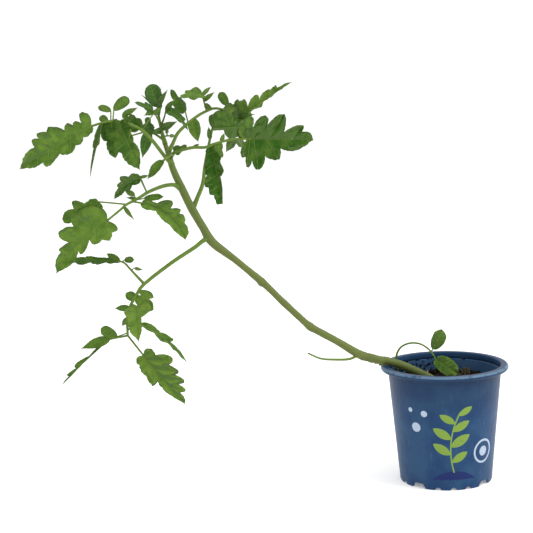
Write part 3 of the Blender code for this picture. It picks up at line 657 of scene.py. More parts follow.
def tube(work, places, radii, sides):
    """A round stalk along the places with a radius at each, closed at both ends. Returns its vertices."""
    places = [Vector(place[:3]) * MM for place in places]
    ends = zip([places[0], *places], [*places[1:], places[-1]])
    ways = [(after - before).normalized() for before, after in ends]
    turned = Vector((0, 0, 1)).rotation_difference(ways[0])
    ring = Matrix.LocRotScale(places[0], turned, Vector((1, 1, 1)) * radii[0] * MM)
    verts = bmesh.ops.create_circle(work, cap_ends=True, segments=sides, radius=1, matrix=ring)["verts"]
    edges = list({edge for vert in verts for edge in vert.link_edges})
    made = list(verts)
    for number in range(1, len(places)):
        grown = bmesh.ops.extrude_edge_only(work, edges=edges)["geom"]
        verts = [part for part in grown if isinstance(part, bmesh.types.BMVert)]
        known = set(verts)
        edges = [part for part in grown if isinstance(part, bmesh.types.BMEdge) and set(part.verts) <= known]
        turned = ways[number - 1].rotation_difference(ways[number]) @ turned
        following = Matrix.LocRotScale(places[number], turned, Vector((1, 1, 1)) * radii[number] * MM)
        bmesh.ops.transform(work, verts=verts, matrix=following @ ring.inverted())
        ring = following
        made += verts
    cap = bmesh.ops.contextual_create(work, geom=edges)["faces"]
    bmesh.ops.recalc_face_normals(work, faces=list({f for v in made for f in v.link_faces} | set(cap)))
    return made


def make_fibres():
    draw = random.Random(23)
    work = bmesh.new()
    for _ in range(FIBRES):
        away = FIBRE_REACH * math.sqrt(draw.random())
        turned = draw.uniform(0, math.tau)
        heading = draw.uniform(0, math.tau)
        length = draw.uniform(3, 9)
        route = []
        for step in range(5):
            x = away * math.cos(turned) + length * (step / 4 - 0.5) * math.cos(heading)
            y = away * math.sin(turned) + length * (step / 4 - 0.5) * math.sin(heading)
            heading += draw.uniform(-0.3, 0.3)
            route.append((x, y, soil_height(x, y) + draw.uniform(0.4, 1.8)))
        tube(work, route, [0.08, 0.14, 0.16, 0.13, 0.06], 4)
    piece("soil_fibres", work, fibre_finish())


def perlite_finish():
    perlite = Finish("perlite", {"Roughness": 0.85})
    pores = perlite.cloud(perlite.places(), 0.5, 3)
    perlite.surface_is({
        "Base Color": perlite.mix(pores, (0.5, 0.42, 0.26), (0.8, 0.76, 0.62)),
        "Normal": perlite.bump(pores, 0.3),
    })
    return perlite


def make_perlite():
    """Grains of perlite, with the largest behind the foot of the stem."""
    draw = random.Random(5)
    work = bmesh.new()
    for x, y, size in GRAINS:
        crumb(work, (x, y, soil_height(x, y) + 0.7 * size), size, draw, 2)
    piece("soil_perlite", work, perlite_finish(), sharp=60)


def moss_finish():
    moss = Finish("dry moss", {"Roughness": 0.9})
    patches = moss.cloud(moss.places(), 1.2, 3)
    moss.surface_is({"Base Color": moss.mix(patches, (0.02, 0.016, 0.006), (0.11, 0.09, 0.03))})
    return moss


def make_moss():
    """A tuft of dry moss at the back right: short leafy threads that stand out of a cushion."""
    draw = random.Random(31)
    work = bmesh.new()
    for _ in range(MOSS_THREADS):
        x, y = [draw.gauss(middle, MOSS_SPREAD) for middle in MOSS_PLACE]
        low = soil_height(x, y)
        away = (Vector((x, y)) - Vector(MOSS_PLACE)).length
        height = max(0.5, MOSS_HEIGHT - 0.1 * away ** 2) * draw.uniform(0.7, 1.1)
        lean = Vector((draw.gauss(0, 0.35), draw.gauss(0, 0.35), 1)) * height
        root = Vector((x, y, low - 0.5))
        tube(work, [root, root + lean * 0.6, root + lean * 1.1], [0.7, 0.55, 0.1], 5)
    piece("soil_moss", work, moss_finish(), sharp=60)


potting_soil = soil_finish()
make_soil_bed()
make_crumbs()
make_fibres()
make_perlite()
make_moss()


# ------------------------------------------------------------------ main stem
# The plant has toppled over the rim and grown on: a round green stem, thickest at the pot, that swells a
# little where leaves leave it. It is finely hairy, with bumps of roots to come along its lower side.
MAIN_STEM = [
    (6, 6, 60, 3.3), (-2, 4, 80, 3.5), (-8, 3.5, 92, 3.6), (-17.5, 3, 99.2, 3.7), (-31, 3, 106, 3.7),
    (-42, 2.5, 111, 3.7), (-54, 1, 115.2, 3.8), (-59, 0, 115.9, 3.9), (-67, -1, 118.3, 4.0),
    (-80, -2, 122.8, 4.1), (-101, -5, 136.8, 3.4), (-121, -8, 149, 3.5), (-126.4, -8, 152.6, 4.0),
    (-131.6, -9, 157.5, 3.2), (-147.5, -10, 173.5, 3.2), (-165.5, -11, 192.5, 3.3),
    (-169.8, -11, 196.2, 4.0), (-174.8, -11, 201.2, 3.4), (-194.6, -9, 218.5, 3.2),
    (-214.5, -6, 234.6, 4.2), (-223, -4, 249, 3.8), (-233, -1, 267, 3.9), (-243, 2, 289, 3.4),
    (-249, 3, 304, 3.1), (-252, 4, 316, 2.7), (-255, 5, 326, 2.1),
]
STEM_SIDES = 24
STEM_STEPS = 8  # places along the stem for each of its points
STEM_SWELLS = [(9, 0.25), (2.5, 0.07)]  # length and height of the stem's unevenness
STEM_HAIRS = 2600
STEM_HAIRY_FROM = 30  # the place along the stem where the hairs start, clear of the soil
ROOT_BUMPS = 46
ROOT_BUMP_RANGE = (20, 74)


def stem_finish():
    stem = Finish("tomato stem", {"Sheen Weight": 0.03, "Specular IOR Level": 0.2})
    place = stem.places()
    x, z = stem.split(place, "XZ")
    patches = stem.cloud(place, 14, 3)
    colour = stem.mix(patches, (0.07, 0.1, 0.017), (0.12, 0.155, 0.03))
    young = stem.step(z, 200, 320)
    colour = stem.mix(young * 0.6, colour, (0.09, 0.155, 0.025))
    [up] = stem.split(stem.node("NewGeometry", output="Normal"), "Z")
    # Painted shade, brownish, in patches on the stem's downward-facing side.
    underside_shade = stem.step(stem.cloud(place, 5, 3), 0.42, 0.66) * stem.step(up, 0.6, -0.7)
    colour = stem.mix(underside_shade * 0.6, colour, (0.09, 0.07, 0.025))
    low = stem.step(x, -100, -20) * stem.step(stem.cloud(place, 3, 4), 0.45, 0.7)
    colour = stem.mix(low * 0.45, colour, (0.075, 0.08, 0.018))
    grain = stem.cloud(place, 0.5, 3)
    stem.surface_is({
        "Base Color": stem.mix(grain * 0.2, colour, (0.28, 0.32, 0.12)),
        "Roughness": grain * 0.2 + 0.42,
        "Normal": stem.bump(grain, 0.12, stem.bump(patches, 0.6)),
    })
    return stem


def hairs(work, line, count, draw, length=0.9):
    """Fine hairs that stand off a stalk, on a line of places with a radius each."""
    made = []
    for _ in range(count):
        number = draw.randrange(1, len(line) - 1)
        here, way = line[number], (line[number + 1] - line[number - 1]).to_3d().normalized()
        out = Matrix.Rotation(draw.uniform(0, math.tau), 3, way) @ way.orthogonal().normalized()
        out = (out + way * draw.uniform(-0.3, 0.3)).normalized()
        reach = length * draw.uniform(0.5, 1)
        middle = here.to_3d() + out * (here[3] + reach / 2 - 0.1)
        at = Matrix.LocRotScale(middle * MM, Vector((0, 0, 1)).rotation_difference(out), None)
        made += bmesh.ops.create_cone(
            work, cap_ends=True, segments=3, radius1=0.06 * MM, radius2=0.01 * MM,
            depth=reach * MM, matrix=at,
        )["verts"]
    return made


def make_stem():
    line = curve_through(MAIN_STEM, STEM_STEPS)
    draw = random.Random(3)
    work = bmesh.new()
    skin = tube(work, line, [place[3] for place in line], STEM_SIDES)
    for vert in skin:
        swell = sum(noise.noise(vert.co / MM / length) * height for length, height in STEM_SWELLS)
        vert.co += vert.normal * swell * MM
    for _ in range(ROOT_BUMPS):
        here = line[draw.randrange(*ROOT_BUMP_RANGE)]
        side = Vector((0, draw.uniform(-1, 0.6), -1)).normalized()
        size = draw.uniform(0.5, 1.2)
        at = Matrix.Translation((here.to_3d() + side * (here[3] - 0.25 * size)) * MM)
        bmesh.ops.create_icosphere(work, subdivisions=2, radius=size * MM, matrix=at)
    hairs(work, line[STEM_HAIRY_FROM:], STEM_HAIRS, draw)
    piece("plant_stem", work, stem_finish(), ["main_stem"])


make_stem()


# ------------------------------------------------------------------ lowest leaf
# Every leaf is a long stalk with lobed leaflets in uneven pairs and small ones between them, soft and
# hairy. This one, the oldest, arches down on the left and lets its leaflets hang.
END_LOBE = 0.8
BASE_ANGLE = 130  # between a midrib's course and the edge at the leaflet's base
TIP_ANGLE = 30
VEIN_ANGLES = (112, 50)  # between a midrib's course and the veins at its two ends
PLAIN_ANGLE = 75
UNEVEN = 0.1
BASE_ROUND = 0.6
TIP_ROUND = 1.25
LOBE_ROUND = 0.75
PLAIN_VEINS = (0.14, 0.3, 0.47, 0.65)  # where side veins leave the midrib of a leaflet without lobes
PLAIN_VEIN_ANGLE = 58
BLADE_THICKNESS = 0.36
PILLOW_HEIGHT = 0.028  # of the relief between the veins, as a share of the leaflet's length
WAVE_HEIGHT = 0.24  # of the waves at the edge, as a share of how far it reaches
WAVE_LENGTH = 9
FINE_LENGTH = 26  # leaflets longer than this have the closest grid
EDGE_STEP = 0.9  # between the points along the edge of such a leaflet
FINE_ROWS = 16  # of the grid from edge to edge
PLAIN_ROWS = 10
RAGGED = 0.9  # how far the fine unevenness of an edge reaches
RAGGED_LENGTH = 2.4
RAGGED_REACH = 6  # an edge this far from the midrib or farther is fully uneven
RAGGED_PLAIN = 0.35  # the share of it that a leaflet without lobes has
RIB_PLACES = (0.08, 0.25, 0.5, 0.75, 0.96)  # shares of the midrib at which the rib under it is placed
RIB_TIP = 0.16
HAIRS_FOR_LENGTH = 1.1
LEAF_LAYERS = ("growth", "veins")  # share of stalk, underside, tint; distances to side vein and midrib, share


def leaflet(at, length, width, heading, toward=0, **shape):
    """One leaflet: where it grows on its stalk, its size, where its tip points and its form.

    heading turns in the plane of X and Z, from +X towards +Z, and toward leans the tip towards -Y.
    Beside its tip a leaflet has the given number of lobes on each side, cut in by a share of its width,
    and one without lobes is broadest at the share widest. A side with a form of its own has a list of
    the veins that end in its lobes instead: the share of the midrib where the vein leaves, its length,
    its angle with the midrib's course and the length that the notch after it leaves. pale is from 0 for
    the darkest green to 1 for the palest, and pucker is how much its relief is raised.
    """
    form = dict(stalk=None, roll=0, bend=15, sickle=0, fold=10, lobes=2, cut=0.35, widest=0.35)
    form.update(dict(left=None, right=None, pale=0.5, pucker=1), **shape)
    form.update(at=at, length=length, width=width, heading=heading, toward=toward, edges={})
    return form


LEAF_1 = [
    dict(
        route=[
            (-218, -6, 239), (-224, -9, 236), (-231, -12, 231), (-252, -22, 219), (-277, -35, 202),
            (-284, -40, 193), (-290, -44, 183), (-293, -46, 172), (-293, -47, 157),
        ],
        radii=(2.2, 1.1),
        leaflets=[
            leaflet(
                1, 58, 31, -50, 12, stalk=(23, -53, 8), roll=10, pale=1, pucker=1.3,
                left=[(0.03, 11, 85, 11), (0.1, 24.5, 54, 19), (0.28, 24, 50, 16), (0.47, 21.5, 48, 12),
                      (0.64, 15.5, 42, 8), (0.8, 7, 45, 0)],
                right=[(0.02, 9, 90, 9), (0.1, 11.5, 70, 10.5), (0.28, 14, 54, 6), (0.52, 6.5, 60, 0)],
            ),
            leaflet(
                0.96, 58, 18, -38, 22, stalk=(16, 28, 27), roll=-72, bend=35,
                left=[(0.2, 6, 65, 3), (0.4, 9.5, 36, 1.5), (0.7, 2.5, 50, 0)],
                right=[(0.15, 9, 70, 7), (0.4, 11, 62, 9), (0.65, 9, 58, 0)],
            ),
            leaflet(
                1, 58, 26, -138, 8, stalk=(18, -170, 0), roll=40, pale=0.4,
                right=[(0.2, 2, 50, 1.2), (0.55, 7, 35, 2), (0.72, 7, 30, 1.5), (0.9, 1.5, 40, 0)],
                left=[(0.3, 1.5, 50, 1), (0.7, 1.5, 40, 0)],
            ),
            leaflet(1, 27, 10, -165, 12, stalk=(17, -172, 4), roll=25, lobes=0),
            leaflet(0.98, 16.5, 10, 150, 0, stalk=(10.5, 198, 0), roll=15, lobes=0, widest=0.62),
            leaflet(
                0.77, 42, 26, -82, 50, stalk=(8, -10, 50), bend=60, pale=0.8, pucker=1.5,
                left=[(0.3, 14, 85, 5), (0.62, 5.5, 70, 0)], right=[(0.2, 11, 80, 9), (0.55, 8.5, 65, 0)],
            ),
            leaflet(0.66, 15, 7, -22, 15, roll=-20, lobes=0, widest=0.6, pale=0.9),
            leaflet(0.71, 22, 12, -33, 25, roll=-10, lobes=0, widest=0.6, pale=0.9),
            leaflet(0.72, 11, 9, 155, -30, roll=20, lobes=0),
            leaflet(0.8, 14, 6, 180, -10, roll=20, lobes=0),
            leaflet(0.87, 13, 5, -125, -35, lobes=0),
        ],
    ),
    dict(
        route=[(-277, -35, 202), (-288, -28, 213), (-296, -24, 221), (-304, -22, 222)],
        radii=(1.2, 0.8),
        leaflets=[
            leaflet(
                1, 48, 16, 180, -10, roll=65, pale=0.3,
                left=[(0.03, 7, 75, 5), (0.2, 11, 62, 7.5), (0.5, 11, 58, 9), (0.75, 8, 55, 0)],
                right=[(0.1, 4, 65, 3.5), (0.55, 5.5, 60, 0)],
            ),
            leaflet(0.88, 17, 7, 150, -30, roll=20, lobes=0),
            leaflet(0.83, 9, 6, 2, 15, stalk=(4, 35, 10), roll=-10, lobes=0, widest=0.55),
            leaflet(0.5, 8, 3, -10, 20, stalk=(4, 30, 10), lobes=0),
        ],
    ),
]


def place_along(route, share):
    """The place at a share of a route's length."""
    steps = [(Vector(b) - Vector(a)).length for a, b in zip(route, route[1:])]
    left = share * sum(steps)
    for start, end, step in zip(route, route[1:], steps):
        if left <= step:
            return Vector(start).lerp(Vector(end), left / step)
        left -= step
    return Vector(route[-1])


def pointing(heading, toward):
    heading = math.radians(heading)
    toward = math.radians(toward)
    level = math.cos(toward)
    return Vector((math.cos(heading) * level, -math.sin(toward), math.sin(heading) * level))


def lobe_veins(form, side):
    """The veins of one side: share of the midrib, length, angle, and length left in the notch after it."""
    own = form["left" if side > 0 else "right"]
    if own:
        return own
    half = form["width"] / 2
    if not form["lobes"]:
        return [(form["widest"], half, PLAIN_ANGLE, 0)]
    veins = []
    first, last = VEIN_ANGLES
    for lobe in range(form["lobes"] + 1):
        share = (lobe + (0.5 if lobe < form["lobes"] else 0.3)) / (form["lobes"] + END_LOBE)
        uneven = 1 + UNEVEN * math.sin(2.4 * lobe + 1.7 * side + form["length"])
        reach = half * math.sin(math.pi * share ** 0.5) ** 0.85 * uneven
        veins.append((share, reach, first + (last - first) * share, (1 - form["cut"]) * reach))
    return veins


def edge(form, share, side):
    """Reach and angle of the edge, worked out once for each place."""
    place = (share, side > 0)
    if place not in form["edges"]:
        form["edges"][place] = new_edge(form, share, side)
    return form["edges"][place]


def new_edge(form, share, side):
    """How far the edge is from the midrib at a share of its length, and at which angle to its course."""
    veins = lobe_veins(form, side)
    start, reach, angle, _ = veins[0]
    if share <= start:
        way = share / start
        return reach * math.sin(math.pi / 2 * way) ** BASE_ROUND, angle * way + BASE_ANGLE * (1 - way)
    for (start, reach, angle, notch), (end, next_reach, next_angle, _) in zip(veins, veins[1:]):
        if share <= end:
            way = (share - start) / (end - start)
            top = reach if way < 0.5 else next_reach
            bottom = min(notch, top)
            bulge = abs(math.cos(math.pi * way)) ** LOBE_ROUND
            return bottom + (top - bottom) * bulge, angle + (next_angle - angle) * way
    start, reach, angle, _ = veins[-1]
    way = (share - start) / (1 - start)
    return reach * max(math.cos(math.pi / 2 * way), 0) ** TIP_ROUND, angle * (1 - way) + TIP_ANGLE * way


def flat_place(form, share, across):
    """A place on the leaflet when it is pressed flat: millimetres along its midrib and beside it."""
    reach, angle = edge(form, share, across)
    reach *= abs(across)
    angle = math.radians(angle)
    return Vector((share * form["length"] + reach * math.cos(angle), reach * math.sin(angle)))


def side_veins(form, side):
    veins = lobe_veins(form, side)
    if len(veins) > 1:
        return veins
    return [(share, edge(form, share, side)[0], PLAIN_VEIN_ANGLE, 0) for share in PLAIN_VEINS]


def vein_distances(form, share, across):
    """Millimetres from a place on a leaflet to its nearest side vein and to its midrib."""
    ahead, out = flat_place(form, share, across)
    nearest = form["length"]
    for start, length, angle, _ in side_veins(form, across):
        course = Vector((math.cos(math.radians(angle)), math.sin(math.radians(angle))))
        away = Vector((ahead - start * form["length"], out))
        past = away.dot(course)
        nearest = min(nearest, math.hypot(away.cross(course), max(past - length, -past, 0)))
    return nearest, out


def blade_relief(form, share, across, veins):
    """Height of the blade over its plain shape: pillows between the veins, and a waved edge."""
    pillow = 1 - math.exp(-1.2 * min(veins) / form["length"] ** 0.5)
    spot = Vector((share * form["length"] / WAVE_LENGTH, 2.5 * across, form["length"] + form["heading"]))
    wave = (noise.noise(spot) + 0.4 * noise.noise(2.3 * spot)) * across ** 2
    raised = PILLOW_HEIGHT * form["length"] * pillow + WAVE_HEIGHT * edge(form, share, across)[0] * wave
    return raised * form["pucker"]


def leaflet_surface(form, base, share, across, relief=0):
    """Place on a leaflet and the way it faces: share runs from base to tip, across from -1 to 1."""
    ahead = pointing(form["heading"], form["toward"])
    facing = Vector((0, -1, 0)) if abs(ahead.y) < 0.97 else Vector((0, 0, 1))
    facing = (facing - facing.dot(ahead) * ahead).normalized()
    facing = Matrix.Rotation(math.radians(form["roll"]), 3, ahead) @ facing
    aside = facing.cross(ahead)
    arch = math.radians(form["bend"]) / 2
    swing = math.radians(form["sickle"]) / 2
    middle = ahead * share + (facing * arch - aside * swing) * share * (1 - share)
    along = (ahead + (facing * arch - aside * swing) * (1 - 2 * share)).normalized()
    aside = facing.cross(along).normalized()
    up = along.cross(aside)
    reach, angle = edge(form, share, across)
    spot = Vector((*flat_place(form, share, math.copysign(1, across)), 5 * form["length"]))
    ragged = RAGGED if form["lobes"] else RAGGED * RAGGED_PLAIN
    reach += ragged * noise.noise(spot / RAGGED_LENGTH) * min(reach / RAGGED_REACH, 1)
    reach = max(reach, 0.15) * abs(across)
    fold = math.radians(form["fold"])
    out = aside * math.copysign(math.cos(fold), across) + up * math.sin(fold)
    angle = math.radians(angle)
    offset = (along * math.cos(angle) + out * math.sin(angle)) * reach + up * relief
    return base + middle * form["length"] + offset, up


def columns(form, step):
    """Shares of the midrib for a leaflet's grid, a step apart where they meet its edge."""
    keys = {0, 1}
    for side in (-1, 1):
        shares = [0, *(vein[0] for vein in lobe_veins(form, side)), 1]
        keys.update(shares)
        keys.update((share + after) / 2 for share, after in zip(shares, shares[1:]))
    keys = sorted(keys)
    places = [0]
    for start, end in zip(keys, keys[1:]):
        middle = (start + end) / 2
        length = max(
            (flat_place(form, start, side) - flat_place(form, middle, side)).length
            + (flat_place(form, middle, side) - flat_place(form, end, side)).length
            for side in (-1, 1)
        )
        count = max(1, round(length / step))
        places += [start + (end - start) * number / count for number in range(1, count + 1)]
    return places


def blade(work, form, base, tint):
    """A leaflet's blade: a grid laid over its surface, then given its thickness."""
    large = form["length"] > FINE_LENGTH
    shares = columns(form, EDGE_STEP if large else 0.8 * EDGE_STEP)
    rows = FINE_ROWS if large else PLAIN_ROWS
    verts = bmesh.ops.create_grid(work, x_segments=len(shares) - 1, y_segments=rows, size=1)["verts"]
    growth, veins = [work.verts.layers.float_vector[layer] for layer in LEAF_LAYERS]
    for number, vert in enumerate(verts):
        row, column = divmod(number, len(shares))
        share = shares[column]
        way = 2 * row / rows - 1
        across = math.copysign(abs(way) ** 1.25, way)
        nearest = vein_distances(form, share, across)
        relief = blade_relief(form, share, across, nearest)
        place, _ = leaflet_surface(form, base, share, across, relief)
        vert.co = place * MM
        vert[growth] = (0, 0, tint)
        vert[veins] = (*nearest, share)
    faces = list({face for vert in verts for face in vert.link_faces})
    shell = bmesh.ops.solidify(work, geom=faces, thickness=BLADE_THICKNESS * MM)["geom"]
    for part in shell:
        if isinstance(part, bmesh.types.BMVert):
            part[growth] = (0, 1, tint)


def grow_leaflet(work, form, route, draw):
    """A leaflet's blade, with the stalk that carries it and runs on as a rib under it."""
    start = place_along(route, form["at"])
    base = start
    if form["stalk"]:
        length, heading, toward = form["stalk"]
        base = start + pointing(heading, toward) * length
    thick = 0.5 + form["length"] / 120
    tint = form["pale"] + draw.uniform(-0.12, 0.12)
    places = [(*start, thick), (*base, thick * 0.9)] if form["stalk"] else [(*start, thick)]
    for share in RIB_PLACES:
        place, up = leaflet_surface(form, base, share, 0)
        size = RIB_TIP + (thick * 0.75 - RIB_TIP) * (1 - share)
        places.append((*(place - up * size * 0.7), size))
    stalk(work, places, 8, tint, draw)
    blade(work, form, base, tint)


def stalk(work, places, sides, tint, draw):
    """A hairy stalk along places with a radius each."""
    line = curve_through(places, 3)
    verts = tube(work, line, [max(place[3], 0.1) for place in line], sides)
    length = sum((b.to_3d() - a.to_3d()).length for a, b in zip(line, line[1:]))
    verts += hairs(work, line, round(length * HAIRS_FOR_LENGTH), draw, 0.6)
    growth = work.verts.layers.float_vector["growth"]
    for vert in verts:
        vert[growth] = (1, 0, tint)


VEIN_GREEN = (0.24, 0.35, 0.09)
# The colour of the leaves' painted specks of light.
GLINT_GREEN = (0.45, 0.5, 0.18)
STALK_GREENS = ((0.08, 0.145, 0.02), (0.14, 0.22, 0.035))
LIGHT_THROUGH = (0.2, 0.46, 0.02)
LIGHT_SHARE = 0.3


def leaf_finish(name, dark, bright, under):
    """Soft leaf: pale veins on a puckered green blade with painted shade beside the veins and painted specks
    of light, a duller underside and yellow-green stalks.
    """
    leaf = Finish(name, {"IOR": 1.24})
    place = leaf.places()
    growth, veins = [
        leaf.node("Attribute", {"attribute_name": layer}, output="Vector") for layer in LEAF_LAYERS
    ]
    stalks, below, tint = leaf.split(growth)
    along, across, share = leaf.split(veins)

    patches = leaf.cloud(place, 9, 3)
    colour = leaf.mix(leaf.step(patches * 0.6 + tint * 0.4, 0.25, 0.75), dark, bright)
    cells = leaf.node(
        "TexVoronoi", {"feature": "DISTANCE_TO_EDGE"}, {"Vector": place, "Scale": 0.8}, output="Distance",
    )
    net = leaf.step(cells, 0.14, 0.02)
    rib = leaf.step(across, 0.62, 0.15) * (1 - share * 0.4)
    side = leaf.step(along, 0.5, 0.1) * leaf.step(share, 1, 0.75)
    lines = rib.math("MAXIMUM", side * 0.8).math("MAXIMUM", net * 0.22)
    # Painted shade: the blade is darkened in the sunken creases beside the side veins and the midrib.
    beside = leaf.step(along, 2.6, 0.4) * leaf.step(share, 1, 0.8)
    vein_crease_shade = beside.math("MAXIMUM", leaf.step(across, 2.2, 0.4))
    colour = leaf.mix(vein_crease_shade * 0.2, colour, dark)
    colour = leaf.mix(below, colour, under)
    colour = leaf.mix(lines * 0.7, colour, VEIN_GREEN)
    # Painted specks of light: sparse pale spots for highlights and light shining through the blade.
    glint_cells = leaf.node("TexVoronoi", {}, {"Vector": place, "Scale": 0.16}, output="Distance")
    glint_patches = leaf.step(leaf.cloud(place, 14, 1), 0.6, 0.66)
    colour = leaf.mix(leaf.step(glint_cells, 0.17, 0.08) * glint_patches * 0.6, colour, GLINT_GREEN)
    colour = leaf.mix(stalks, colour, leaf.mix(patches, *STALK_GREENS))

    blades = 1 - stalks
    fuzz = leaf.cloud(place, 0.25, 2)
    height = (cells.math("MINIMUM", 0.4) * 1.4 - lines * 0.5) * blades * (1 - 2 * below)
    leaf.surface_is({
        "Base Color": colour,
        "Roughness": patches * 0.16 + below * 0.16 + 0.38,
        "Normal": leaf.bump(fuzz, 0.06, leaf.bump(height, 0.45)),
    })
    glow = leaf.node("BsdfTranslucent", {}, {"Color": LIGHT_THROUGH})
    surface = Wire(leaf, leaf.surface.outputs[0])
    through = leaf.node("MixShader", {}, {0: blades * LIGHT_SHARE, 1: surface, 2: glow})
    leaf.set(leaf.tree.nodes["Material Output"].inputs["Surface"], through)
    return leaf


def leaf_work():
    """An empty mesh with the layers that the leaf finish reads."""
    work = bmesh.new()
    for layer in LEAF_LAYERS:
        work.verts.layers.float_vector.new(layer)
    return work


def make_leaf(name, parts, finish, node, seed):
    """A leaf: its stalk and branches, each with its leaflets, as one piece."""
    draw = random.Random(seed)
    work = leaf_work()
    for part in parts:
        route, (foot, end) = part["route"], part["radii"]
        last = len(route) - 1
        radii = [foot + (end - foot) * number / last for number in range(last + 1)]
        radii[0] *= 1.25
        stalk(work, [(*place, radius) for place, radius in zip(route, radii)], 14, 0.5, draw)
        for form in part["leaflets"]:
            grow_leaflet(work, form, route, draw)
    piece(name, work, finish, [node])


leaf_green = leaf_finish("tomato leaf", (0.02, 0.085, 0.004), (0.2, 0.32, 0.045), (0.1, 0.17, 0.045))
make_leaf("lowest_leaf", LEAF_1, leaf_green, "leaf_1", 1)


# ------------------------------------------------------------------ leaf on the left
# The second leaf reaches out to the left. Its end leaflet is the broadest that hangs, with round lobes,
# and a side leaflet curves back under the stalk.
LEAF_2 = [
    dict(
        route=[
            (-243, 2, 285), (-248, -4, 289), (-256, -9, 289), (-264, -15, 287), (-272, -21, 284),
            (-279, -26, 280), (-290, -33, 275), (-295, -36, 271), (-307, -43, 262),
        ],
        radii=(2.0, 1.0),
        leaflets=[
            leaflet(
                1, 66, 46, -136, 17, roll=12, bend=25, sickle=36, pale=0.65,
                right=[(0.2, 22, 70, 13), (0.45, 20, 64, 5.5), (0.6, 11, 45, 7), (0.73, 8, 48, 0)],
                left=[(0.02, 13.5, 109, 12), (0.1, 17.5, 84, 14), (0.19, 16.5, 60, 8), (0.38, 17, 46, 9),
                      (0.62, 11.5, 58, 0)],
            ),
            leaflet(
                0.72, 36, 26, -157, 5, stalk=(26, 173, 0), roll=25, pale=0.6,
                right=[(0.15, 5, 70, 4), (0.42, 11, 64, 3.5), (0.72, 5.5, 64, 0)],
                left=[(0.05, 9, 95, 8), (0.3, 15.5, 68, 5), (0.72, 9.5, 62, 0)],
            ),
            leaflet(
                0.45, 33, 18, -143, -15, stalk=(17, 118, -33), sickle=50, pale=0.15,
                right=[(0.12, 6.5, 80, 5.5), (0.3, 9.5, 65, 6.5), (0.5, 6, 60, 4), (0.7, 3, 50, 0)],
                left=[(0.1, 4, 80, 3), (0.35, 7, 60, 4.5), (0.6, 5, 55, 0)],
            ),
            leaflet(0.45, 8, 3, 8, -20, stalk=(18, 114, -33), lobes=0),
            leaflet(0.61, 11, 5, 158, -30, stalk=(5, 100, -30), roll=20, lobes=0),
            leaflet(0.58, 12, 3, 175, -28, roll=10, lobes=0),
            leaflet(
                0.65, 52, 25, -41, 13, stalk=(12, -7, 36), roll=-25, sickle=-55, fold=25, pale=0.75,
                left=[(0.1, 5, 70, 4.5), (0.28, 14, 52, 7), (0.48, 13, 64, 9), (0.6, 11.5, 63, 8),
                      (0.78, 8, 60, 0)],
                right=[(0.08, 6.5, 80, 3.5), (0.42, 8.5, 68, 7.5), (0.7, 7.5, 60, 0)],
            ),
            leaflet(0.62, 18, 7, 4, 5, stalk=(9, 9, 5), roll=-30, lobes=0, widest=0.6),
            leaflet(0.76, 18, 4, -49, 33, lobes=0),
        ],
    ),
]
make_leaf("left_leaf", LEAF_2, leaf_green, "leaf_2", 2)


# ------------------------------------------------------------------ leaf behind the fork
# This leaf rises behind the stem and turns its end leaflet over, so that the grey underside shows. One
# long side leaflet hangs straight down from it.
LEAF_3 = [
    dict(
        route=[
            (-232, 0, 265), (-227, 6, 276), (-222, 12, 288), (-220, 20, 302), (-217, 28, 317),
            (-215, 33, 326), (-212, 40, 338),
        ],
        radii=(2.2, 1.1),
        leaflets=[
            leaflet(
                1, 40, 38, -2, -30, roll=195, pale=0.25,
                left=[(0.08, 2.5, 90, 2.5), (0.62, 12, 92, 0)],
                right=[(0.1, 13, 100, 12), (0.4, 24, 86, 17), (0.75, 20, 80, 0)],
            ),
            leaflet(
                0.74, 55, 25, -81, 9, stalk=(7, 34, 44), roll=15, bend=10, fold=30, pale=0.1,
                right=[(0.1, 7, 70, 7), (0.3, 11, 65, 10), (0.5, 16, 65, 12), (0.68, 11.5, 65, 7),
                       (0.85, 8, 60, 0)],
                left=[(0.1, 12, 75, 8), (0.38, 10.5, 68, 6), (0.6, 5, 60, 0)],
            ),
            leaflet(0.87, 12, 5, 95, 15, lobes=0),
        ],
    ),
]
make_leaf("back_leaf", LEAF_3, leaf_green, "leaf_3", 3)


# ------------------------------------------------------------------ leaf on the right
# The leaf that reaches forward on the right, with the broadest end leaflet of all, deeply cut. A small
# leaf in its axil is fused to its foot.
LEAF_4 = [
    dict(
        route=[
            (-250, 3, 315), (-246, -4, 319), (-237, -14, 322), (-227, -22, 324), (-217, -28, 324),
            (-209, -33, 327), (-192, -38, 331), (-178, -40, 331),
        ],
        radii=(1.8, 1.0),
        leaflets=[
            leaflet(
                1, 60, 52, -2, 14, roll=-8, pale=0.2, pucker=1.3,
                left=[(0.02, 10, 95, 9), (0.08, 24.5, 57, 14), (0.33, 26, 59, 7), (0.68, 16, 55, 10),
                      (0.83, 8.5, 58, 0)],
                right=[(0.01, 17, 104, 16), (0.04, 26, 91, 20), (0.1, 28.5, 77, 17), (0.3, 22, 57, 10),
                       (0.58, 12, 60, 0)],
            ),
            leaflet(0.11, 13, 9, 30, 12, roll=-20, lobes=1, cut=0.4),
            leaflet(0.38, 7, 3, 30, 10, lobes=0),
            leaflet(0.85, 30, 9, -120, -60, roll=180, lobes=0),
            leaflet(0.9, 36, 14, -63, -72, roll=180, lobes=1, cut=0.3),
            leaflet(0.68, 14, 9, -70, 17, roll=10, lobes=1, cut=0.4),
            leaflet(0.97, 32, 15, 73, -50, lobes=1, cut=0.3),
            leaflet(0.93, 35, 9, 86, -62, lobes=0),
            leaflet(0.72, 10, 4, 68, -32, lobes=0),
        ],
    ),
    dict(
        route=[(-247, -2.5, 318), (-250, -10, 316.5), (-254, -16, 314), (-257, -17, 312)],
        radii=(1.2, 1.0),
        leaflets=[
            leaflet(0.97, 22, 12, -133, 15, roll=40, sickle=-35, fold=25, lobes=0),
        ],
    ),
]
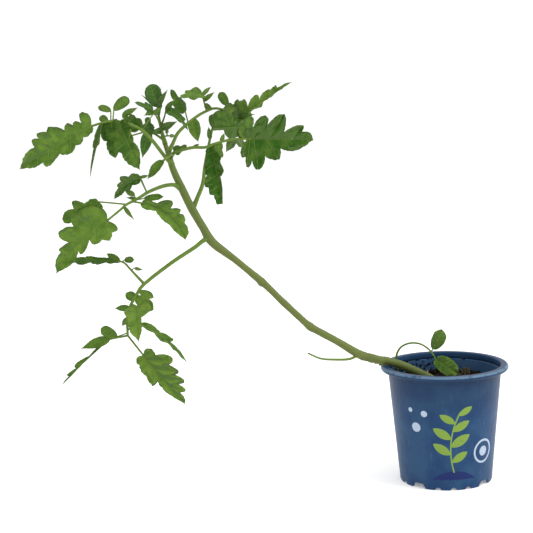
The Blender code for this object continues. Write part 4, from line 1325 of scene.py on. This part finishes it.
make_leaf("right_leaf", LEAF_4, leaf_green, "leaf_4", 4)


# ------------------------------------------------------------------ rising leaf
# The leaf that climbs to the right behind the others and droops at its end. Its end leaflet shows its
# edge, and a small branch with young leaflets stands up from the bend.
LEAF_5 = [
    dict(
        route=[
            (-252, 4, 319), (-248, 9, 327), (-244, 13, 335), (-238, 17, 341), (-226, 24, 350),
            (-216, 28, 355), (-207, 31, 357), (-192, 35, 352), (-185, 36, 346),
        ],
        radii=(1.8, 1.0),
        leaflets=[
            leaflet(
                1, 60, 28, 34, 8, roll=-62, bend=10, fold=20, pale=0.8,
                left=[(0.05, 19, 66, 6), (0.28, 14, 62, 4.5), (0.5, 11, 54, 7), (0.65, 8.5, 56, 3.5),
                      (0.8, 4, 50, 0)],
                right=[(0.05, 14, 75, 8), (0.3, 12, 60, 5), (0.55, 9, 55, 0)],
            ),
            leaflet(0.8, 32, 26, -65, 62, lobes=1, cut=0.4, pale=0.35),
            leaflet(0.83, 16, 9, 121, -27, stalk=(6, 75, -20), lobes=0, widest=0.6),
            leaflet(0.94, 23, 12, 80, 45, lobes=1, cut=0.4),
            leaflet(0.97, 28, 6, 11, 55, roll=-20, lobes=0),
            leaflet(0.44, 24, 12, -76, 30, lobes=0),
            leaflet(0.38, 26, 13, 123, -18, stalk=(12, 103, -13), roll=-20, lobes=1, cut=0.3),
        ],
    ),
    dict(
        route=[(-216, 28, 355), (-218, 29, 361), (-220, 30, 370)],
        radii=(0.9, 0.7),
        leaflets=[
            leaflet(1, 28, 17, -177, 45, roll=50, lobes=2, cut=0.3),
            leaflet(0.97, 13, 5, 44, -30, roll=-30, lobes=0),
            leaflet(0.62, 13, 5, 38, roll=-30, lobes=0),
            leaflet(0.4, 14, 5, -27, 50, lobes=0),
        ],
    ),
]
make_leaf("rising_leaf", LEAF_5, leaf_green, "leaf_5", 5)


# ------------------------------------------------------------------ top leaf
# The longest leaf arches over to the left from just under the tip. Its end leaflet is long and toothed,
# and broad leaflets hang in a bunch from its middle.
LEAF_6 = [
    dict(
        route=[
            (-249, 3, 308), (-254, -6, 314), (-264, -18, 330), (-272, -26, 340), (-277, -30, 344),
            (-288, -36, 349), (-299, -40, 351), (-310, -43, 349), (-317, -44, 347),
        ],
        radii=(1.9, 1.0),
        leaflets=[
            leaflet(
                1, 75, 36, -151, 22, roll=12, bend=25, pale=0.6,
                right=[(0.04, 15, 92, 5.5), (0.12, 11, 70, 8), (0.2, 13, 70, 8), (0.38, 18, 72, 15),
                       (0.5, 19.5, 65, 15), (0.58, 17.5, 62, 11), (0.72, 10.5, 60, 0)],
                left=[(0.1, 6.5, 80, 6), (0.2, 10.5, 70, 10), (0.3, 15, 58, 9.5), (0.6, 15.5, 54, 9),
                      (0.75, 8.5, 55, 0)],
            ),
            leaflet(0.85, 11, 7, 145, -38, roll=20, lobes=0, widest=0.55),
            leaflet(0.8, 18, 10, 37, -24, stalk=(11, 85, -23), roll=-10, lobes=0, widest=0.62),
            leaflet(0.82, 13, 7, 162, -18, stalk=(10, 90, -24), roll=30, lobes=0, widest=0.55),
            leaflet(
                0.74, 52, 34, -66, 29, bend=25, pale=0.25,
                right=[(0.15, 16, 85, 12), (0.42, 13, 65, 10), (0.62, 10, 60, 0)],
                left=[(0.15, 8, 75, 3), (0.62, 8, 62, 0)],
            ),
            leaflet(0.81, 33, 22, -86, 8, roll=20, bend=20, lobes=1, cut=0.35, pale=0.25),
            leaflet(
                0.9, 52, 14, -106, -8, roll=40, sickle=-6, fold=30,
                right=[(0.25, 3.5, 60, 3), (0.6, 2, 50, 0)], left=[(0.25, 7, 60, 4), (0.6, 2.5, 50, 0)],
            ),
            leaflet(0.84, 29, 5, -139, -45, roll=20, lobes=0),
            leaflet(0.48, 32, 16, -154, -38, stalk=(16, -165, -40), roll=10, lobes=1, cut=0.3),
            leaflet(0.54, 27, 15, 142, -41, roll=15, lobes=2, cut=0.25),
            leaflet(0.66, 17, 6, 27, -28, stalk=(10, 125, -29), roll=-30, lobes=0),
            leaflet(0.51, 10, 5, 37, -11, stalk=(22, 54, -38), lobes=0),
        ],
    ),
]
make_leaf("top_leaf", LEAF_6, leaf_green, "leaf_6", 6)


# ------------------------------------------------------------------ young leaf
# A leaf that has just unfolded, on the growing tip behind the top leaf: thin, duller and hardly cut. It
# stands on a short hairy stalk of its own.
LEAF_7 = [
    dict(
        route=[(-256, 6, 330), (-263, 7, 335), (-270, 8, 339)],
        radii=(1.2, 0.8),
        leaflets=[
            leaflet(1, 27, 11, -105, 20, bend=10, lobes=0),
            leaflet(1, 13, 12, 95, -13, lobes=1, cut=0.5),
            leaflet(0.65, 17, 6, 126, -31, lobes=0),
        ],
    ),
]
young_green = leaf_finish("young tomato leaf", (0.035, 0.1, 0.018), (0.09, 0.19, 0.04), (0.11, 0.18, 0.06))
make_leaf("young_leaf", LEAF_7, young_green, "leaf_7", 7)


# ------------------------------------------------------------------ growing tip
# The last of the stem, with the youngest leaves still folded around it. They are soft and downy, on short
# stalks that start from two small side branches and from the stem's end.
TIP_STEM = [
    (-255.1, 5.1, 326.3, 2.0), (-258, 8, 338, 1.7), (-260, 9, 350, 1.3), (-261, 10, 362, 0.9),
]
SHOOT_TIP = [
    dict(
        route=[place[:3] for place in TIP_STEM],
        radii=(2.0, 0.9),
        leaflets=[
            leaflet(1, 21, 16, 107, -10, lobes=0, widest=0.55),
            leaflet(0.96, 21, 6, 57, 23, roll=-20, lobes=0),
            leaflet(0.98, 19, 3, 78, -19, lobes=0),
            leaflet(0.96, 19, 3, 141, -6, lobes=0),
            leaflet(0.9, 20, 12, -55, 75, bend=30, lobes=1, cut=0.2),
            leaflet(0.42, 21, 7, 22, 35, lobes=0),
            leaflet(0.37, 12, 6, -175, 50, lobes=0),
        ],
    ),
    dict(
        route=[(-259, 8, 343), (-261, 5, 350), (-265, 2, 358)],
        radii=(0.9, 0.7),
        leaflets=[
            leaflet(1, 21, 9, 152, 34, roll=40, lobes=1, cut=0.25),
            leaflet(0.92, 16, 6, -160, 60, roll=20, lobes=0),
        ],
    ),
    dict(
        route=[(-259, 8, 342), (-255, 7, 351), (-253, 5, 358)],
        radii=(0.9, 0.7),
        leaflets=[
            leaflet(1, 30, 9, -43, 23, roll=-30, sickle=-35, bend=20, lobes=2, cut=0.2),
            leaflet(0.97, 13, 6, 46, 5, roll=-30, lobes=0),
        ],
    ),
]
make_leaf("growing_tip", SHOOT_TIP, young_green, "shoot_tip", 8)


# ------------------------------------------------------------------ flower buds
# Two closed flower buds, each wrapped in its green calyx, on a short hairy stalk beside the tip. The calyx
# is narrow, with five low ridges.
BUD_STALK = [(-257, 6, 333, 0.8), (-253, 3, 334, 0.7), (-249, 1, 334, 0.6)]
BUDS = [((-248, 0, 334), 2.6, 0), ((-253, 8, 338), 2.4, 70)]  # middle, half the length, and lean
BUD_SLIMNESS = 0.62
BUD_RIDGES = 5


def make_buds():
    draw = random.Random(9)
    work = leaf_work()
    stalk(work, BUD_STALK, 8, 0.4, draw)
    stalk(work, [BUD_STALK[1], (*BUDS[1][0], 0.5)], 8, 0.4, draw)
    growth = work.verts.layers.float_vector["growth"]
    for place, size, lean in BUDS:
        bud = bmesh.ops.create_uvsphere(work, u_segments=20, v_segments=14, radius=size * MM)["verts"]
        for vert in bud:
            x, y, z = vert.co / (size * MM)
            ridge = 1 + 0.08 * math.cos(BUD_RIDGES * math.atan2(y, z))
            slim = BUD_SLIMNESS * ridge * (1 - 0.25 * x)
            vert.co = Vector((x, y * slim, z * slim)) * size * MM
            vert[growth] = (0.25, 0, 0.3)
        at = Matrix.Translation(Vector(place) * MM) @ Matrix.Rotation(-math.radians(lean), 4, "Y")
        bmesh.ops.transform(work, verts=bud, matrix=at)
    piece("closed_buds", work, young_green, ["flower_buds"])


make_buds()


# ------------------------------------------------------------------ side shoot
# A seedling's shoot that loops out of the soil behind the stem and carries two smooth-edged leaves. Its
# thin stalk is rooted in the soil and isn't joined to the stem.
BASAL_SHOOT = [
    dict(
        route=[
            (-40, 22, 72), (-41, 19, 92), (-44, 14, 108), (-44, 11, 118), (-41, 9, 125), (-36, 7, 129),
            (-29, 4, 131), (-21, 0, 130), (-14, -4, 125), (-10, -6, 119),
        ],
        radii=(1.1, 0.8),
        leaflets=[
            leaflet(
                1, 25, 17, -33, 18, stalk=(3, -65, 10), roll=-15, bend=40, fold=14, lobes=0, widest=0.5,
                pucker=3,
            ),
            leaflet(0.94, 20, 14, 66, stalk=(4, 50, 0), roll=10, bend=10, fold=14, lobes=0, widest=0.55),
        ],
    ),
]
make_leaf("side_shoot", BASAL_SHOOT, leaf_green, "basal_shoot", 10)


# ------------------------------------------------------------------ bare leaf stalk
# The stalk of a leaf that has lost its leaflets, curving out from under the stem near the pot. It is green
# and hairy as the other stalks are, and thins towards its end.
BARE_STALK = [
    (-82, -2, 122, 1.4), (-90, -8, 120, 1.2), (-102, -11, 120.5, 1.1), (-117, -16, 123, 0.95),
    (-129, -18, 129, 0.8),
]


def make_bare_stalk():
    work = leaf_work()
    stalk(work, BARE_STALK, 14, 0.5, random.Random(12))
    piece("bare_stalk", work, leaf_green, ["bare_petiole"])


make_bare_stalk()
